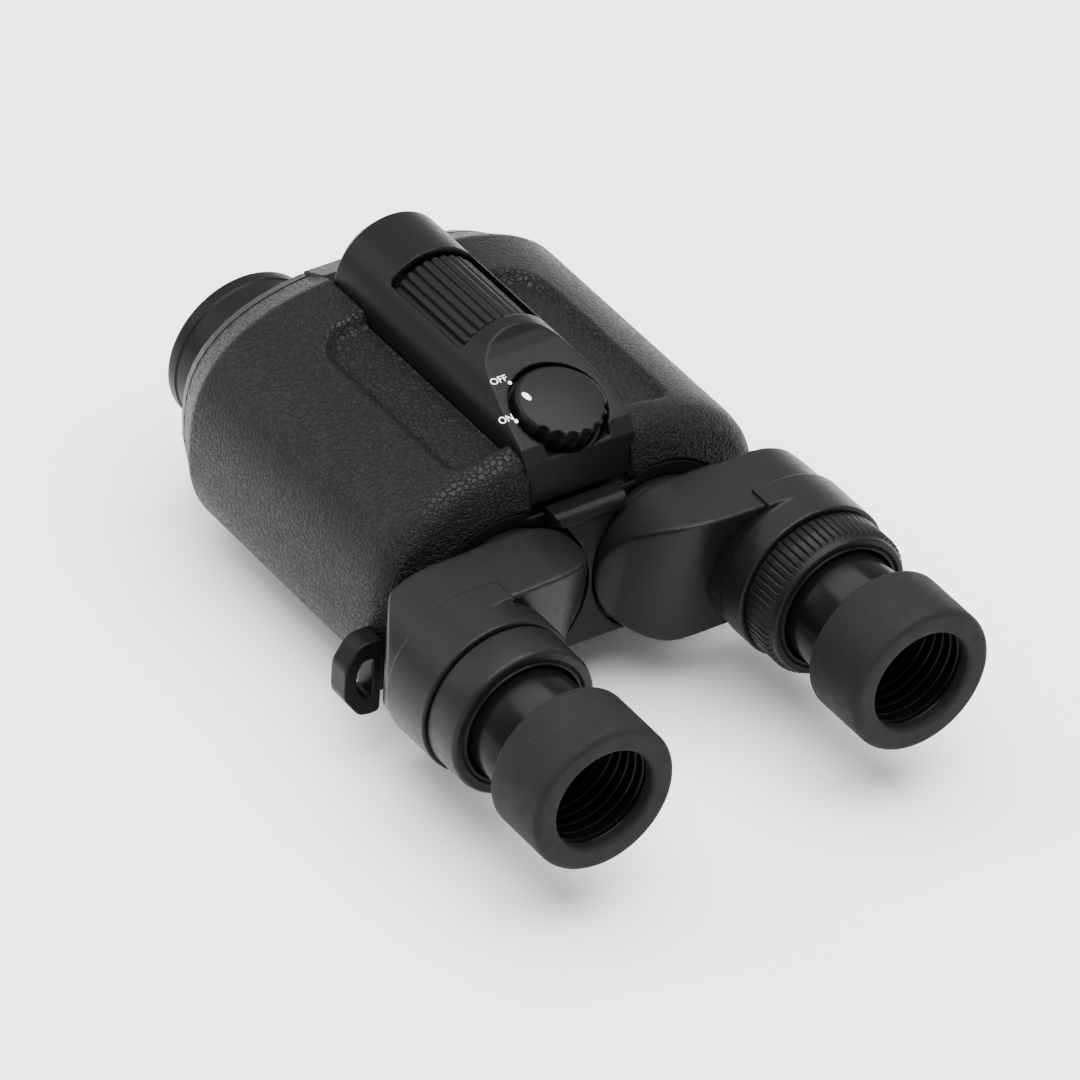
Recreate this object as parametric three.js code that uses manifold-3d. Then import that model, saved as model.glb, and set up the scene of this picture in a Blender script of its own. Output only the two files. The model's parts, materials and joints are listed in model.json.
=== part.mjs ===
// Compact image-stabilised binoculars with swing-arm eyepieces.
// Millimetres, +Z up, +Y from the eyecups towards the objectives, +X to the user's right.
// The pieces are drawn about the optical axes: z = 0 on the axes, y = 0 at the eyecup rims, x = 0 midway.
// The last lines lift that frame so that the origin lies under the middle, on the surface it stands on.
import * as THREE from 'three';
import { mergeVertices } from 'three/addons/utils/BufferGeometryUtils.js';
import { ParametricGeometry } from 'three/addons/geometries/ParametricGeometry.js';
import Module from 'manifold-3d';

const wasm = await Module();
wasm.setup();

// ---------------------------------------------------------------- driving dimensions
const LENGTH = 161.2;            // eyecup rims to objective rims, eyecups twisted out
const AXIS_HEIGHT = 30;          // optical axes above the surface it stands on
const PUPIL_DISTANCE = 75;       // between the eyepiece axes with the arms level
const PIVOT_X = 18;              // objective axis, which is also the arm's pivot
const EYE_X = PUPIL_DISTANCE / 2;
const GAP = 0.3;                 // clearance between neighbouring pieces

const BODY_HALF_WIDTH = 45.4;
const BODY_HALF_HEIGHT = 30;
const BODY_ROUNDNESS = 2.6;      // superellipse exponent of the body's section
const BODY_SIDES = 48;
const BODY_REAR_Y = 62.4;
const ARMOUR_FRONT_Y = 144.4;
const FRONT_FACE_Y = 147;
const BEVEL_START_Y = 137;
const ARMOUR_THICKNESS = 2.5;
const SHELL_INSET = 2.85;        // chassis below the armour's surface
const CAVITY_INSET = 4.85;
const BASE_GAP_HALF_WIDTH = 16;  // where the armour stops beside the base plate
const REAR_PLATE_INSET = 10.7;

const BASE_HALF_WIDTH = 15.7;
const BASE_REAR_Y = 68.5;
const BASE_FRONT_Y = 141;
const BASE_TOP_Z = -27.5;
const DOOR_HALF_WIDTH = 9.5;
const DOOR_REAR_Y = 103;
const DOOR_FRONT_Y = 138.6;
const CELL_RADIUS = 7.75;        // a CR2 cell and its clearance
const CELL_Z = -20.9;
const LUG_REAR_Y = 69.5;
const LUG_FRONT_Y = 73.5;

const COVER_HALF_WIDTH = 13;
const COVER_AXIS_Z = 28.6;       // centre of the half-round hump
const COVER_WALL = 1.2;
const COVER_SKIRT_Z = 17.8;       // lower edge of the cover's rear block
const COVER_SIDE_Z = 19.8;        // lower edge of its sides, clear of the sync gears
const COVER_REAR_Y = 66.6;
const NOSE_CREASE_Y = 136;       // where the hump's chamfered front end starts
const NOSE_FRONT_Y = 140;
const NOSE_FRONT_RADIUS = 9;
const DIAL_SLOPE = 0.5;          // rise of the dial's facet per millimetre forward
const DIAL_Y = 75;
const DIAL_Z = 33.2;
const DIAL_RADIUS = 9.2;
const DIAL_WELL_DEPTH = 4.6;
const SPINDLE_RADIUS = 1.6;
const DIAL_TILT = Math.atan(DIAL_SLOPE);

const ROLLER_RADIUS = 10.9;
const ROLLER_Z = 29.9;
const ROLLER_START_Y = 96.6;
const ROLLER_END_Y = 120.4;
const ROLLER_RIBS = 32;
const SCREW_JOURNAL_RADIUS = 1.5;
const SCREW_TIP_RADIUS = 1.8;
const YOKE_Y = 124.2;            // rear face of the carriage that the roller's screw drives

const BARREL_RADIUS = 17.6;
const BARREL_SLEEVE_RADIUS = 16;
const BARREL_INNER_RADIUS = 15.2;
const SLEEVE_REAR_Y = 136;
const OBJECTIVE_RADIUS = 14;

const ARM_FRONT_Y = 61.9;
const PIVOT_END_RADIUS = 17.2;
const BOSS_RADIUS = 17.4;
const BOSS_REAR_Y = 37.5;
const TURRET_RADIUS = 14.6;
const ARM_SWING = 55 * Math.PI / 180; // upwards from level, which closes the eyepieces to 58 mm
const PRISM_APERTURE = 11;
const PRISM_Y = 55.9;
const PRISM_HALF_HEIGHT = 5.5;
const COLLAR_BORE = 15.9;        // bore behind the boss, which holds the helicoid

const EYECUP_RADIUS = 16.2;
const EYECUP_LENGTH = 15.9;
const EYECUP_OPENING = 11.1;
const EYE_TUBE_RADIUS = 12.4;
const RING_RADIUS = 16.6;
const RING_REAR_Y = 28;
const RING_FRONT_Y = 37.2;
const RING_BORE = 13;
const CELL_TUBE_RADIUS = 11.1;   // barrel that holds the eye lens and the field lens
const EYE_LENS_RADIUS = 9.4;

const GEAR_TEETH = 24;

const GIMBAL_Y = 94.5;
const GIMBAL_PIN_RADIUS = 1.3;

const SIDES = [['left', -1], ['right', 1]];

// ---------------------------------------------------------------- materials
function material(color, roughness, metalness = 0) {
  return new THREE.MeshStandardMaterial({ color, roughness, metalness });
}
const finishes = {
  armour: () => material(0x232325, 0.75),
  plastic: () => material(0x1d1e21, 0.5),
  rubber: () => material(0x252628, 0.8),
  tube: () => material(0x101114, 0.25),
  inner: () => material(0x2b2d30, 0.6),
  metal: () => material(0x8c8f94, 0.35, 0.9),
  steel: () => material(0xb5b8bd, 0.25, 1),
  glass: () => material(0x5f7480, 0.05),
  board: () => material(0x1f5a38, 0.5),
  coil: () => material(0x9a5b32, 0.4, 0.6),
  cell: () => material(0xc9cbd0, 0.3, 0.4),
};

// ---------------------------------------------------------------- geometry helpers
function toSolid(geometry) {
  const bare = geometry.clone();
  bare.deleteAttribute('normal');
  bare.deleteAttribute('uv');
  const merged = mergeVertices(bare, 1e-4);
  const corners = merged.index.array;
  const kept = [];
  for (let i = 0; i < corners.length; i += 3) {
    const [a, b, c] = corners.slice(i, i + 3);
    if (a !== b && b !== c && c !== a) kept.push(a, b, c);
  }
  return new wasm.Manifold(new wasm.Mesh({
    numProp: 3,
    vertProperties: merged.attributes.position.array,
    triVerts: new Uint32Array(kept),
  }));
}

function toGeometry(solid) {
  const mesh = solid.getMesh();
  const geometry = new THREE.BufferGeometry();
  geometry.setAttribute('position', new THREE.BufferAttribute(mesh.vertProperties, 3));
  geometry.setIndex(new THREE.BufferAttribute(mesh.triVerts, 1));
  geometry.computeVertexNormals();
  return geometry;
}

function cut(base, ...tools) {
  return toGeometry(tools.reduce((solid, tool) => solid.subtract(toSolid(tool)), toSolid(base)));
}

function join(...pieces) {
  return toGeometry(pieces.slice(1).reduce((solid, piece) => solid.add(toSolid(piece)), toSolid(pieces[0])));
}

function common(first, second) {
  return toGeometry(toSolid(first).intersect(toSolid(second)));
}

// A solid of revolution about the Y axis from [radius, y] corners.
// A profile that stays off the axis closes on itself, and any other starts and ends on the axis.
function turned(corners, segments = 24) {
  const area = corners.reduce((sum, [r, y], i) => {
    const [nextR, nextY] = corners[(i + 1) % corners.length];
    return sum + r * nextY - nextR * y;
  }, 0);
  const profile = area < 0 ? [...corners].reverse() : corners;
  const points = profile.map(([r, y]) => new THREE.Vector2(r, y));
  if (corners.every(([r]) => r > 0)) points.push(points[0].clone());
  return new THREE.LatheGeometry(points, segments);
}

function rod(radius, startY, endY, segments = 20) {
  return turned([[0, startY], [radius, startY], [radius, endY], [0, endY]], segments);
}

function tube(outer, inner, startY, endY, segments = 24) {
  return turned([[inner, startY], [outer, startY], [outer, endY], [inner, endY]], segments);
}

function block(x0, x1, y0, y1, z0, z1) {
  const box = new THREE.BoxGeometry(x1 - x0, y1 - y0, z1 - z0);
  return box.translate((x0 + x1) / 2, (y0 + y1) / 2, (z0 + z1) / 2);
}

// Extrudes an outline drawn in x and z along +Y.
function extrudeY(shape, startY, endY, curveSegments = 12) {
  const depth = endY - startY;
  const solid = new THREE.ExtrudeGeometry(shape, { depth, bevelEnabled: false, curveSegments });
  return solid.rotateX(Math.PI / 2).translate(0, endY, 0);
}

// Extrudes an outline drawn in x and y along +Z.
function extrudeZ(shape, startZ, endZ, curveSegments = 12) {
  const depth = endZ - startZ;
  const solid = new THREE.ExtrudeGeometry(shape, { depth, bevelEnabled: false, curveSegments });
  return solid.translate(0, 0, startZ);
}

function polygon(points) {
  return new THREE.Shape(points.map(([a, b]) => new THREE.Vector2(a, b)));
}

// A solid with the body's rounded section. Each station is [y, inset from the armour's surface].
function bodyLoft(stations) {
  const rows = [stations[0], ...stations, stations[stations.length - 1]];
  const last = rows.length - 1;
  const power = 2 / BODY_ROUNDNESS;
  const surface = (u, v, target) => {
    const row = Math.round(v * last);
    const [y, inset] = rows[row];
    const size = row === 0 || row === last ? 0 : 1;
    const angle = -2 * Math.PI * u;
    const c = Math.cos(angle);
    const s = Math.sin(angle);
    const x = (BODY_HALF_WIDTH - inset) * Math.sign(c) * Math.abs(c) ** power;
    const z = (BODY_HALF_HEIGHT - inset) * Math.sign(s) * Math.abs(s) ** power;
    target.set(size * x, y, size * z);
  };
  const loft = new ParametricGeometry(surface, BODY_SIDES, last);
  return toGeometry(toSolid(loft));
}

function addMesh(parent, name, geometry, finish) {
  const mesh = new THREE.Mesh(geometry, finishes[finish]());
  mesh.name = name;
  parent.add(mesh);
  return mesh;
}

// ---------------------------------------------------------------- body shells
const shellStations = [[65.2, 8.7], [67, 5.2], [69.8, SHELL_INSET], [137.7, SHELL_INSET], [144.1, 6.4]];
const cavityStations = [[67.2, 10.5], [69.5, 5.4], [72, CAVITY_INSET], [137, CAVITY_INSET], [142, 7.6]];

function forBothSides(makeTool) {
  return SIDES.map(([, side]) => makeTool(side));
}

function turretBore(side) {
  return rod(TURRET_RADIUS + GAP, 60, 70, 24).translate(side * PIVOT_X, 0, 0);
}

function sleeveBore(side) {
  return rod(BARREL_SLEEVE_RADIUS + GAP, 140, 150, 24).translate(side * PIVOT_X, 0, 0);
}

function bodyChassis() {
  return cut(
    bodyLoft(shellStations),
    bodyLoft(cavityStations),
    block(-COVER_HALF_WIDTH - GAP, COVER_HALF_WIDTH + GAP, 60, 150, 17.4, 40),
    block(-DOOR_HALF_WIDTH - 0.4, DOOR_HALF_WIDTH + 0.4, DOOR_REAR_Y - 0.4, 138, -40, -13),
    ...forBothSides(turretBore),
    ...forBothSides(sleeveBore),
    ...forBothSides((side) => block(side * 43 - 2.2, side * 43 + 2.2, LUG_REAR_Y, LUG_FRONT_Y, -16.2, -7.8)),
  );
}

function armour(side) {
  const outer = bodyLoft([[BODY_REAR_Y, 7.6], [63.6, 4.6], [66, 1.7], [70, 0], [BEVEL_START_Y, 0],
    [ARMOUR_FRONT_Y, 3.4]]);
  const inner = bodyLoft([[61, 10.4], [64.9, 8.4], [66.7, 4.9], [69.5, ARMOUR_THICKNESS],
    [138, ARMOUR_THICKNESS], [146, 6.9]]);
  const halfSpan = 60;
  const otherSide = block(side > 0 ? -halfSpan : 0, side > 0 ? 0 : halfSpan, 50, 160, -40, 50);
  return cut(
    outer,
    inner,
    otherSide,
    block(-COVER_HALF_WIDTH - GAP, COVER_HALF_WIDTH + GAP, 50, 160, 0, 50),
    block(-BASE_GAP_HALF_WIDTH, BASE_GAP_HALF_WIDTH, 50, 160, -50, 0),
    block(side * 45 - 4, side * 45 + 4, LUG_REAR_Y - GAP, LUG_FRONT_Y + GAP, -16.5, -7.5),
  );
}

function frontPlate() {
  return cut(
    bodyLoft([[ARMOUR_FRONT_Y + GAP, 3.6], [FRONT_FACE_Y, 4.6]]),
    ...forBothSides(sleeveBore),
    block(-COVER_HALF_WIDTH - GAP, COVER_HALF_WIDTH + GAP, 140, 150, 17.6, 50),
    block(-BASE_GAP_HALF_WIDTH, BASE_GAP_HALF_WIDTH, 140, 150, -50, -26),
  );
}

function rearPlate() {
  return cut(
    bodyLoft([[BODY_REAR_Y, REAR_PLATE_INSET], [BODY_REAR_Y + 2.5, REAR_PLATE_INSET]]),
    ...forBothSides(turretBore),
  );
}

function rearBracket() {
  const web = extrudeY(polygon([[-8.3, 16.9], [8.3, 16.9], [8.3, -16], [-8.3, -16]]), 55.6, 62.1);
  const swungArms = SIDES.map(([, side]) => extrudeY(stadium(side, GAP + 0.1), 50, 70)
    .translate(-side * PIVOT_X, 0, 0)
    .rotateY(-side * ARM_SWING)
    .translate(side * PIVOT_X, 0, 0));
  return cut(
    web,
    ...SIDES.map(([, side]) => rod(PIVOT_END_RADIUS + GAP, 50, 70, 36).translate(side * PIVOT_X, 0, 0)),
    ...swungArms,
  );
}

const baseScrewPlaces = [[-12.6, 74], [12.6, 74], [-12.6, 136], [12.6, 136]];

function basePlate() {
  return cut(
    block(-BASE_HALF_WIDTH, BASE_HALF_WIDTH, BASE_REAR_Y, BASE_FRONT_Y, -BODY_HALF_HEIGHT, BASE_TOP_Z),
    block(-DOOR_HALF_WIDTH - GAP, DOOR_HALF_WIDTH + GAP, DOOR_REAR_Y - GAP, 150, -40, -20),
    ...baseScrewPlaces.map(([x, y]) => rod(2.6, -5, 5, 12).rotateX(Math.PI / 2).translate(x, y, -33.7)),
    ...baseScrewPlaces.map(([x, y]) => rod(1.5, -5, 5, 8).rotateX(Math.PI / 2).translate(x, y, -28)),
  );
}

function batteryDoor() {
  return block(-DOOR_HALF_WIDTH, DOOR_HALF_WIDTH, DOOR_REAR_Y, DOOR_FRONT_Y, -29.8, -29);
}

function baseScrew(x, y) {
  return turned([[0, -29.2], [2.2, -29.2], [2.2, -28.95], [1.1, -28.7], [1.1, -27.55], [0, -27.55]], 8)
    .rotateX(Math.PI / 2)
    .translate(x, y, 0);
}

// ---------------------------------------------------------------- top cover with its dial facet
function humpOutline(halfWidth, bottomZ) {
  const shape = new THREE.Shape();
  shape.moveTo(-halfWidth, bottomZ);
  shape.lineTo(-halfWidth, COVER_AXIS_Z);
  shape.absarc(0, COVER_AXIS_Z, halfWidth, Math.PI, 0, true);
  shape.lineTo(halfWidth, bottomZ);
  return shape;
}

// A solid across the whole cover, drawn as an outline in y and z.
function acrossCover(outline) {
  const solid = new THREE.ExtrudeGeometry(polygon(outline), { depth: 60, bevelEnabled: false });
  return solid.rotateX(Math.PI / 2).rotateZ(Math.PI / 2).translate(-30, 0, 0);
}

// Everything above the dial's sloping facet, offset by drop below it.
function aboveFacet(drop, startY, endY) {
  const height = (y) => DIAL_Z + DIAL_SLOPE * (y - DIAL_Y) - drop;
  return acrossCover([[startY, height(startY)], [endY, height(endY)], [endY, 60], [startY, 60]]);
}

// What is cut away round the hump's front end: a conical chamfer, then the drop to the body's bevel.
function aroundNose() {
  const chamfer = turned([[COVER_HALF_WIDTH, NOSE_CREASE_Y], [20, NOSE_CREASE_Y], [20, NOSE_FRONT_Y],
    [NOSE_FRONT_RADIUS, NOSE_FRONT_Y]], 40).translate(0, 0, COVER_AXIS_Z);
  const ahead = acrossCover([[NOSE_FRONT_Y, 28.4], [150, 24.2], [150, 60], [NOSE_FRONT_Y, 60]]);
  return join(common(chamfer, block(-30, 30, 130, 150, 28.4, 60)), ahead);
}

function topCover() {
  const skin = extrudeY(humpOutline(COVER_HALF_WIDTH, COVER_SKIRT_Z), COVER_REAR_Y, FRONT_FACE_Y, 20);
  const innerHalfWidth = COVER_HALF_WIDTH - COVER_WALL;
  const hollow = extrudeY(humpOutline(innerHalfWidth, 10), 71, NOSE_CREASE_Y - COVER_WALL, 20);
  const hollowUnderDial = cut(hollow, aboveFacet(2.2, 40, 101));
  const window = block(-9.6, 9.6, ROLLER_START_Y - 1.6, ROLLER_END_Y + 1.6, 34, 60);
  return cut(
    skin,
    aboveFacet(0, 40, 101),
    aroundNose(),
    hollowUnderDial,
    block(-innerHalfWidth, innerHalfWidth, 130, 145.5, 10, 23.5),
    window,
    block(-20, 20, 68.6, 150, 10, COVER_SIDE_Z),
    onDialAxis(rod(DIAL_RADIUS + 0.8, -DIAL_WELL_DEPTH, 10, 32)),
    onDialAxis(rod(SPINDLE_RADIUS + GAP, -12, 0, 16)),
  );
}

// Moves a piece turned about Y so that it stands on the dial's facet, with y = 0 on the facet.
function onDialAxis(geometry) {
  return geometry.rotateX(Math.PI / 2 + DIAL_TILT).translate(0, DIAL_Y, DIAL_Z);
}

function powerDial() {
  const knobBottom = 0.4 - DIAL_WELL_DEPTH;
  const knob = turned([[0, -10.4], [SPINDLE_RADIUS, -10.4], [SPINDLE_RADIUS, knobBottom],
    [DIAL_RADIUS, knobBottom], [DIAL_RADIUS, 0.6], [DIAL_RADIUS - 0.9, 1.4], [0, 1.9]], 32);
  const notches = [-2, -1, 0, 1, 2].map((step) => rod(1.1, -4.4, 8, 8)
    .translate(0, 0, DIAL_RADIUS + 0.2)
    .rotateY(step * 0.36));
  return onDialAxis(cut(knob, ...notches));
}

function rotarySwitch() {
  return onDialAxis(join(
    block(-5, 5, -16.5, -10.9, -5, 5),
    tube(3.2, 1.95, -10.95, -6.9, 16),
  ));
}

// ---------------------------------------------------------------- focusing
function ribbedOutline(radius, depth, ribs, stepsPerRib) {
  const count = ribs * stepsPerRib;
  const points = [];
  for (let i = 0; i < count; i += 1) {
    const angle = 2 * Math.PI * i / count;
    const r = radius - depth * (i % stepsPerRib < stepsPerRib / 2 ? 0 : 1);
    points.push([r * Math.cos(angle), r * Math.sin(angle)]);
  }
  return polygon(points);
}

function focusRoller() {
  const outline = ribbedOutline(ROLLER_RADIUS, 0.8, ROLLER_RIBS, 4);
  const bore = new THREE.Path();
  bore.absarc(0, 0, 3.2, 0, 2 * Math.PI, true);
  outline.holes.push(bore);
  return extrudeY(outline, ROLLER_START_Y, ROLLER_END_Y, 12).translate(0, 0, ROLLER_Z);
}

function focusScrew() {
  const coreRadius = 2.9;
  const coreStart = ROLLER_START_Y - GAP;
  const coreEnd = ROLLER_END_Y + 0.5;
  return turned([[0, 94.2], [SCREW_JOURNAL_RADIUS, 94.2], [SCREW_JOURNAL_RADIUS, coreStart],
    [coreRadius, coreStart], [coreRadius, coreEnd], [SCREW_TIP_RADIUS, coreEnd], [SCREW_TIP_RADIUS, 131],
    [0, 131]], 16).translate(0, 0, ROLLER_Z);
}

function screwBearing() {
  return cut(
    block(-6, 6, 92.2, 95.8, 19, 33.5),
    rod(SCREW_JOURNAL_RADIUS + GAP, 93, 97, 16).translate(0, 0, ROLLER_Z),
  );
}

function focusCarriage() {
  const cellRadius = BARREL_SLEEVE_RADIUS - 1.2;
  const onObjectiveAxis = (radius, startY, endY) => forBothSides(
    (side) => rod(radius, startY, endY, 24).translate(side * PIVOT_X, 0, 0),
  );
  const cells = onObjectiveAxis(cellRadius, YOKE_Y, 147.2);
  const bores = onObjectiveAxis(OBJECTIVE_RADIUS - 1, 120, 150);
  const seats = onObjectiveAxis(OBJECTIVE_RADIUS + 0.15, 136.6, 150);
  const yoke = block(-20, 20, YOKE_Y, YOKE_Y + 2.6, -6, 14.4);
  const stem = block(-6.5, 6.5, YOKE_Y, YOKE_Y + 2.6, 10, ROLLER_Z + 5);
  return cut(
    join(...cells, yoke, stem),
    ...bores,
    ...seats,
    rod(SCREW_TIP_RADIUS + GAP, 120, 130, 16).translate(0, 0, ROLLER_Z),
  );
}

function objectiveLens() {
  return turned([[0, 137], [7, 137.35], [OBJECTIVE_RADIUS - 0.2, 138.4], [OBJECTIVE_RADIUS - 0.2, 140.4],
    [8, 142.3], [0, 142.8]], 24);
}

function objectiveBarrel() {
  return turned([
    [BARREL_INNER_RADIUS, SLEEVE_REAR_Y],
    [BARREL_SLEEVE_RADIUS, SLEEVE_REAR_Y],
    [BARREL_SLEEVE_RADIUS, FRONT_FACE_Y + GAP],
    [BARREL_RADIUS, FRONT_FACE_Y + GAP],
    [BARREL_RADIUS, LENGTH - 1.3],
    [BARREL_RADIUS - 0.7, LENGTH],
    [BARREL_RADIUS - 1.9, LENGTH],
    [BARREL_INNER_RADIUS, LENGTH - 3.2],
  ], 32);
}

// ---------------------------------------------------------------- stabiliser
function frameWindow(halfX, halfZ, wallX, wallZ, halfLength) {
  return cut(
    block(-halfX, halfX, GIMBAL_Y - halfLength, GIMBAL_Y + halfLength, -halfZ, halfZ),
    block(-halfX + wallX, halfX - wallX, GIMBAL_Y - 20, GIMBAL_Y + 20, -halfZ + wallZ, halfZ - wallZ),
  );
}

function gimbalOuter() {
  const upperPin = rod(GIMBAL_PIN_RADIUS, 13, 16.2, 16).rotateX(Math.PI / 2).translate(0, GIMBAL_Y, 0);
  const lowerPin = rod(GIMBAL_PIN_RADIUS, 13, 16.2, 16).rotateX(-Math.PI / 2).translate(0, GIMBAL_Y, 0);
  const ring = frameWindow(34.6, 14.2, 2, 1.8, 5);
  const holes = rod(GIMBAL_PIN_RADIUS + GAP, -40, 40, 16).rotateZ(Math.PI / 2).translate(0, GIMBAL_Y, 0);
  return cut(join(ring, upperPin, lowerPin), holes);
}

function gimbalInner() {
  const pin = rod(GIMBAL_PIN_RADIUS, 30, 34.2, 16).rotateZ(-Math.PI / 2).translate(0, GIMBAL_Y, 0);
  const otherPin = rod(GIMBAL_PIN_RADIUS, 30, 34.2, 16).rotateZ(Math.PI / 2).translate(0, GIMBAL_Y, 0);
  const ring = frameWindow(31.4, 11.5, 1.8, 1.4, 8);
  const bridge = block(-2.4, 2.4, GIMBAL_Y - 8, GIMBAL_Y + 8, -10.4, 10.4);
  return join(ring, bridge, pin, otherPin);
}

function erectingPrism() {
  const outline = polygon([[-7.5, -5.5], [-3, -9.8], [5.5, -9.8], [7.5, -4], [7.5, 5.5], [3, 9.8],
    [-5.5, 9.8], [-7.5, 4]]);
  const solid = new THREE.ExtrudeGeometry(outline, { depth: 19, bevelEnabled: false });
  return solid.rotateX(Math.PI / 2).rotateZ(Math.PI / 2).translate(-9.5, GIMBAL_Y, 0);
}

function gimbalBearing(sign) {
  const y0 = GIMBAL_Y - 2.6;
  const y1 = GIMBAL_Y + 2.6;
  const upper = join(
    block(-5, 5, y0, y1, 14.8, 18.5),
    block(-20, 20, y0, y1, 16.4, 18.5),
    block(-20, -16.5, y0, y1, 16.4, 23),
    block(16.5, 20, y0, y1, 16.4, 23),
  );
  const lower = block(-5, 5, y0, y1, -24.6, -14.8);
  const socket = rod(GIMBAL_PIN_RADIUS + GAP, 10, 16.6, 16)
    .rotateX(sign * Math.PI / 2)
    .translate(0, GIMBAL_Y, 0);
  return cut(sign > 0 ? upper : lower, socket);
}

// ---------------------------------------------------------------- eyepiece arms
// The prism's plan: two mirror faces at 45 degrees carry the light from the pivot to the eyepiece.
function prismPlan(side, grow) {
  const half = PRISM_APERTURE / 2 + grow;
  const front = PRISM_Y + half;
  const rear = PRISM_Y - half;
  return polygon([
    [side * (PIVOT_X - half), front],
    [side * (PIVOT_X + half), rear],
    [side * (EYE_X + half), rear],
    [side * (EYE_X - half), front],
  ]);
}

function stadium(side, grow = 0) {
  const shape = new THREE.Shape();
  shape.absarc(PIVOT_X, 0, PIVOT_END_RADIUS + grow, Math.PI / 2, 3 * Math.PI / 2, false);
  shape.absarc(EYE_X, 0, BOSS_RADIUS + grow, -Math.PI / 2, Math.PI / 2, false);
  const outline = shape.getPoints(12).map((point) => [side * point.x, point.y]);
  return polygon(outline);
}

function armPlan(side) {
  const rear = new THREE.SplineCurve([[0.5, 54.8], [9, 54.2], [16, 52.4], [22, 48.9], [28, 45.2], [35, 43],
    [56, 43]].map(([x, y]) => new THREE.Vector2(side * x, y)));
  const points = rear.getPoints(10).map((point) => [point.x, point.y]);
  return polygon([...points, [side * 56, ARM_FRONT_Y], [side * 0.5, ARM_FRONT_Y]]);
}

function armHousing(side) {
  const slab = common(extrudeY(stadium(side), 40, ARM_FRONT_Y), extrudeZ(armPlan(side), -20, 20));
  const boss = rod(BOSS_RADIUS, BOSS_REAR_Y, ARM_FRONT_Y - 6, 32).translate(side * EYE_X, 0, 0);
  const pocket = PRISM_HALF_HEIGHT + 0.4;
  const turret = rod(TURRET_RADIUS, ARM_FRONT_Y - 1, 67.3, 24).translate(side * PIVOT_X, 0, 0);
  return cut(
    join(slab, boss, turret),
    extrudeZ(prismPlan(side, GAP), -pocket, pocket),
    rod(9.5, 58, 70, 20).translate(side * PIVOT_X, 0, 0),
    rod(COLLAR_BORE, 30, 45.4, 24).translate(side * EYE_X, 0, 0),
    rod(CELL_TUBE_RADIUS + GAP, 40, 51, 24).translate(side * EYE_X, 0, 0),
  );
}

function rhomboidPrism(side) {
  return extrudeZ(prismPlan(side, 0), -PRISM_HALF_HEIGHT, PRISM_HALF_HEIGHT);
}

// Meshing gears on the two turrets make both arms swing together.
function syncGear(firstToothAngle) {
  const pitch = 2 * Math.PI / GEAR_TEETH;
  const halfTooth = [[-0.31, -1.7], [-0.105, 1.25], [0.105, 1.25], [0.31, -1.7]];
  const points = [];
  for (let tooth = 0; tooth < GEAR_TEETH; tooth += 1) {
    halfTooth.forEach(([turn, rise]) => {
      const angle = firstToothAngle + (tooth + turn) * pitch;
      points.push([(PIVOT_X + rise) * Math.cos(angle), (PIVOT_X + rise) * Math.sin(angle)]);
    });
  }
  const shape = polygon(points);
  const bore = new THREE.Path();
  bore.absarc(0, 0, 10.5, 0, 2 * Math.PI, true);
  shape.holes.push(bore);
  return extrudeY(shape, 69.4, 71.4, 8);
}

function pivotRetainer() {
  return tube(16.1, 9.6, 67.6, 69.1);
}

// ---------------------------------------------------------------- eyepieces, turned about their own axis
function eyecupRubber() {
  return turned([
    [EYECUP_OPENING, 0.8], [EYECUP_OPENING + 0.8, 0], [15, 0], [EYECUP_RADIUS, 1.2],
    [EYECUP_RADIUS, EYECUP_LENGTH], [EYE_TUBE_RADIUS + GAP, EYECUP_LENGTH], [EYE_TUBE_RADIUS + GAP, 2.6],
    [EYECUP_OPENING, 2.6],
  ], 32);
}

function eyecupTube() {
  return tube(EYE_TUBE_RADIUS, 11.5, 2.9, 33);
}

function lensBarrel() {
  const bore = EYE_LENS_RADIUS + GAP;
  return turned([[8.4, 14.4], [CELL_TUBE_RADIUS, 14.4], [CELL_TUBE_RADIUS, 48.2], [bore, 48.2], [bore, 15.2],
    [8.4, 15.2]]);
}

function eyeLens() {
  return turned([[0, 15.7], [5, 15.85], [EYE_LENS_RADIUS, 16.6], [EYE_LENS_RADIUS, 19.6], [5, 21.2],
    [0, 21.7]], 24);
}

function fieldLens() {
  return turned([[0, 42.2], [5, 42.6], [EYE_LENS_RADIUS, 43.8], [EYE_LENS_RADIUS, 46], [5, 46.9],
    [0, 47.2]], 24);
}

function helicoidSleeve() {
  return tube(COLLAR_BORE - GAP, EYE_TUBE_RADIUS + GAP, 38, 45);
}

function gripRing(ribs, depth) {
  const bore = new THREE.Path();
  bore.absarc(0, 0, RING_BORE, 0, 2 * Math.PI, true);
  const outline = ribbedOutline(RING_RADIUS, depth, ribs, 4);
  outline.holes.push(bore);
  return extrudeY(outline, RING_REAR_Y, RING_FRONT_Y, 12);
}

function smoothRing() {
  return turned([[RING_BORE, RING_REAR_Y], [16, RING_REAR_Y], [RING_RADIUS, RING_REAR_Y + 0.6],
    [RING_RADIUS, RING_FRONT_Y], [RING_BORE, RING_FRONT_Y]], 32);
}

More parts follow.
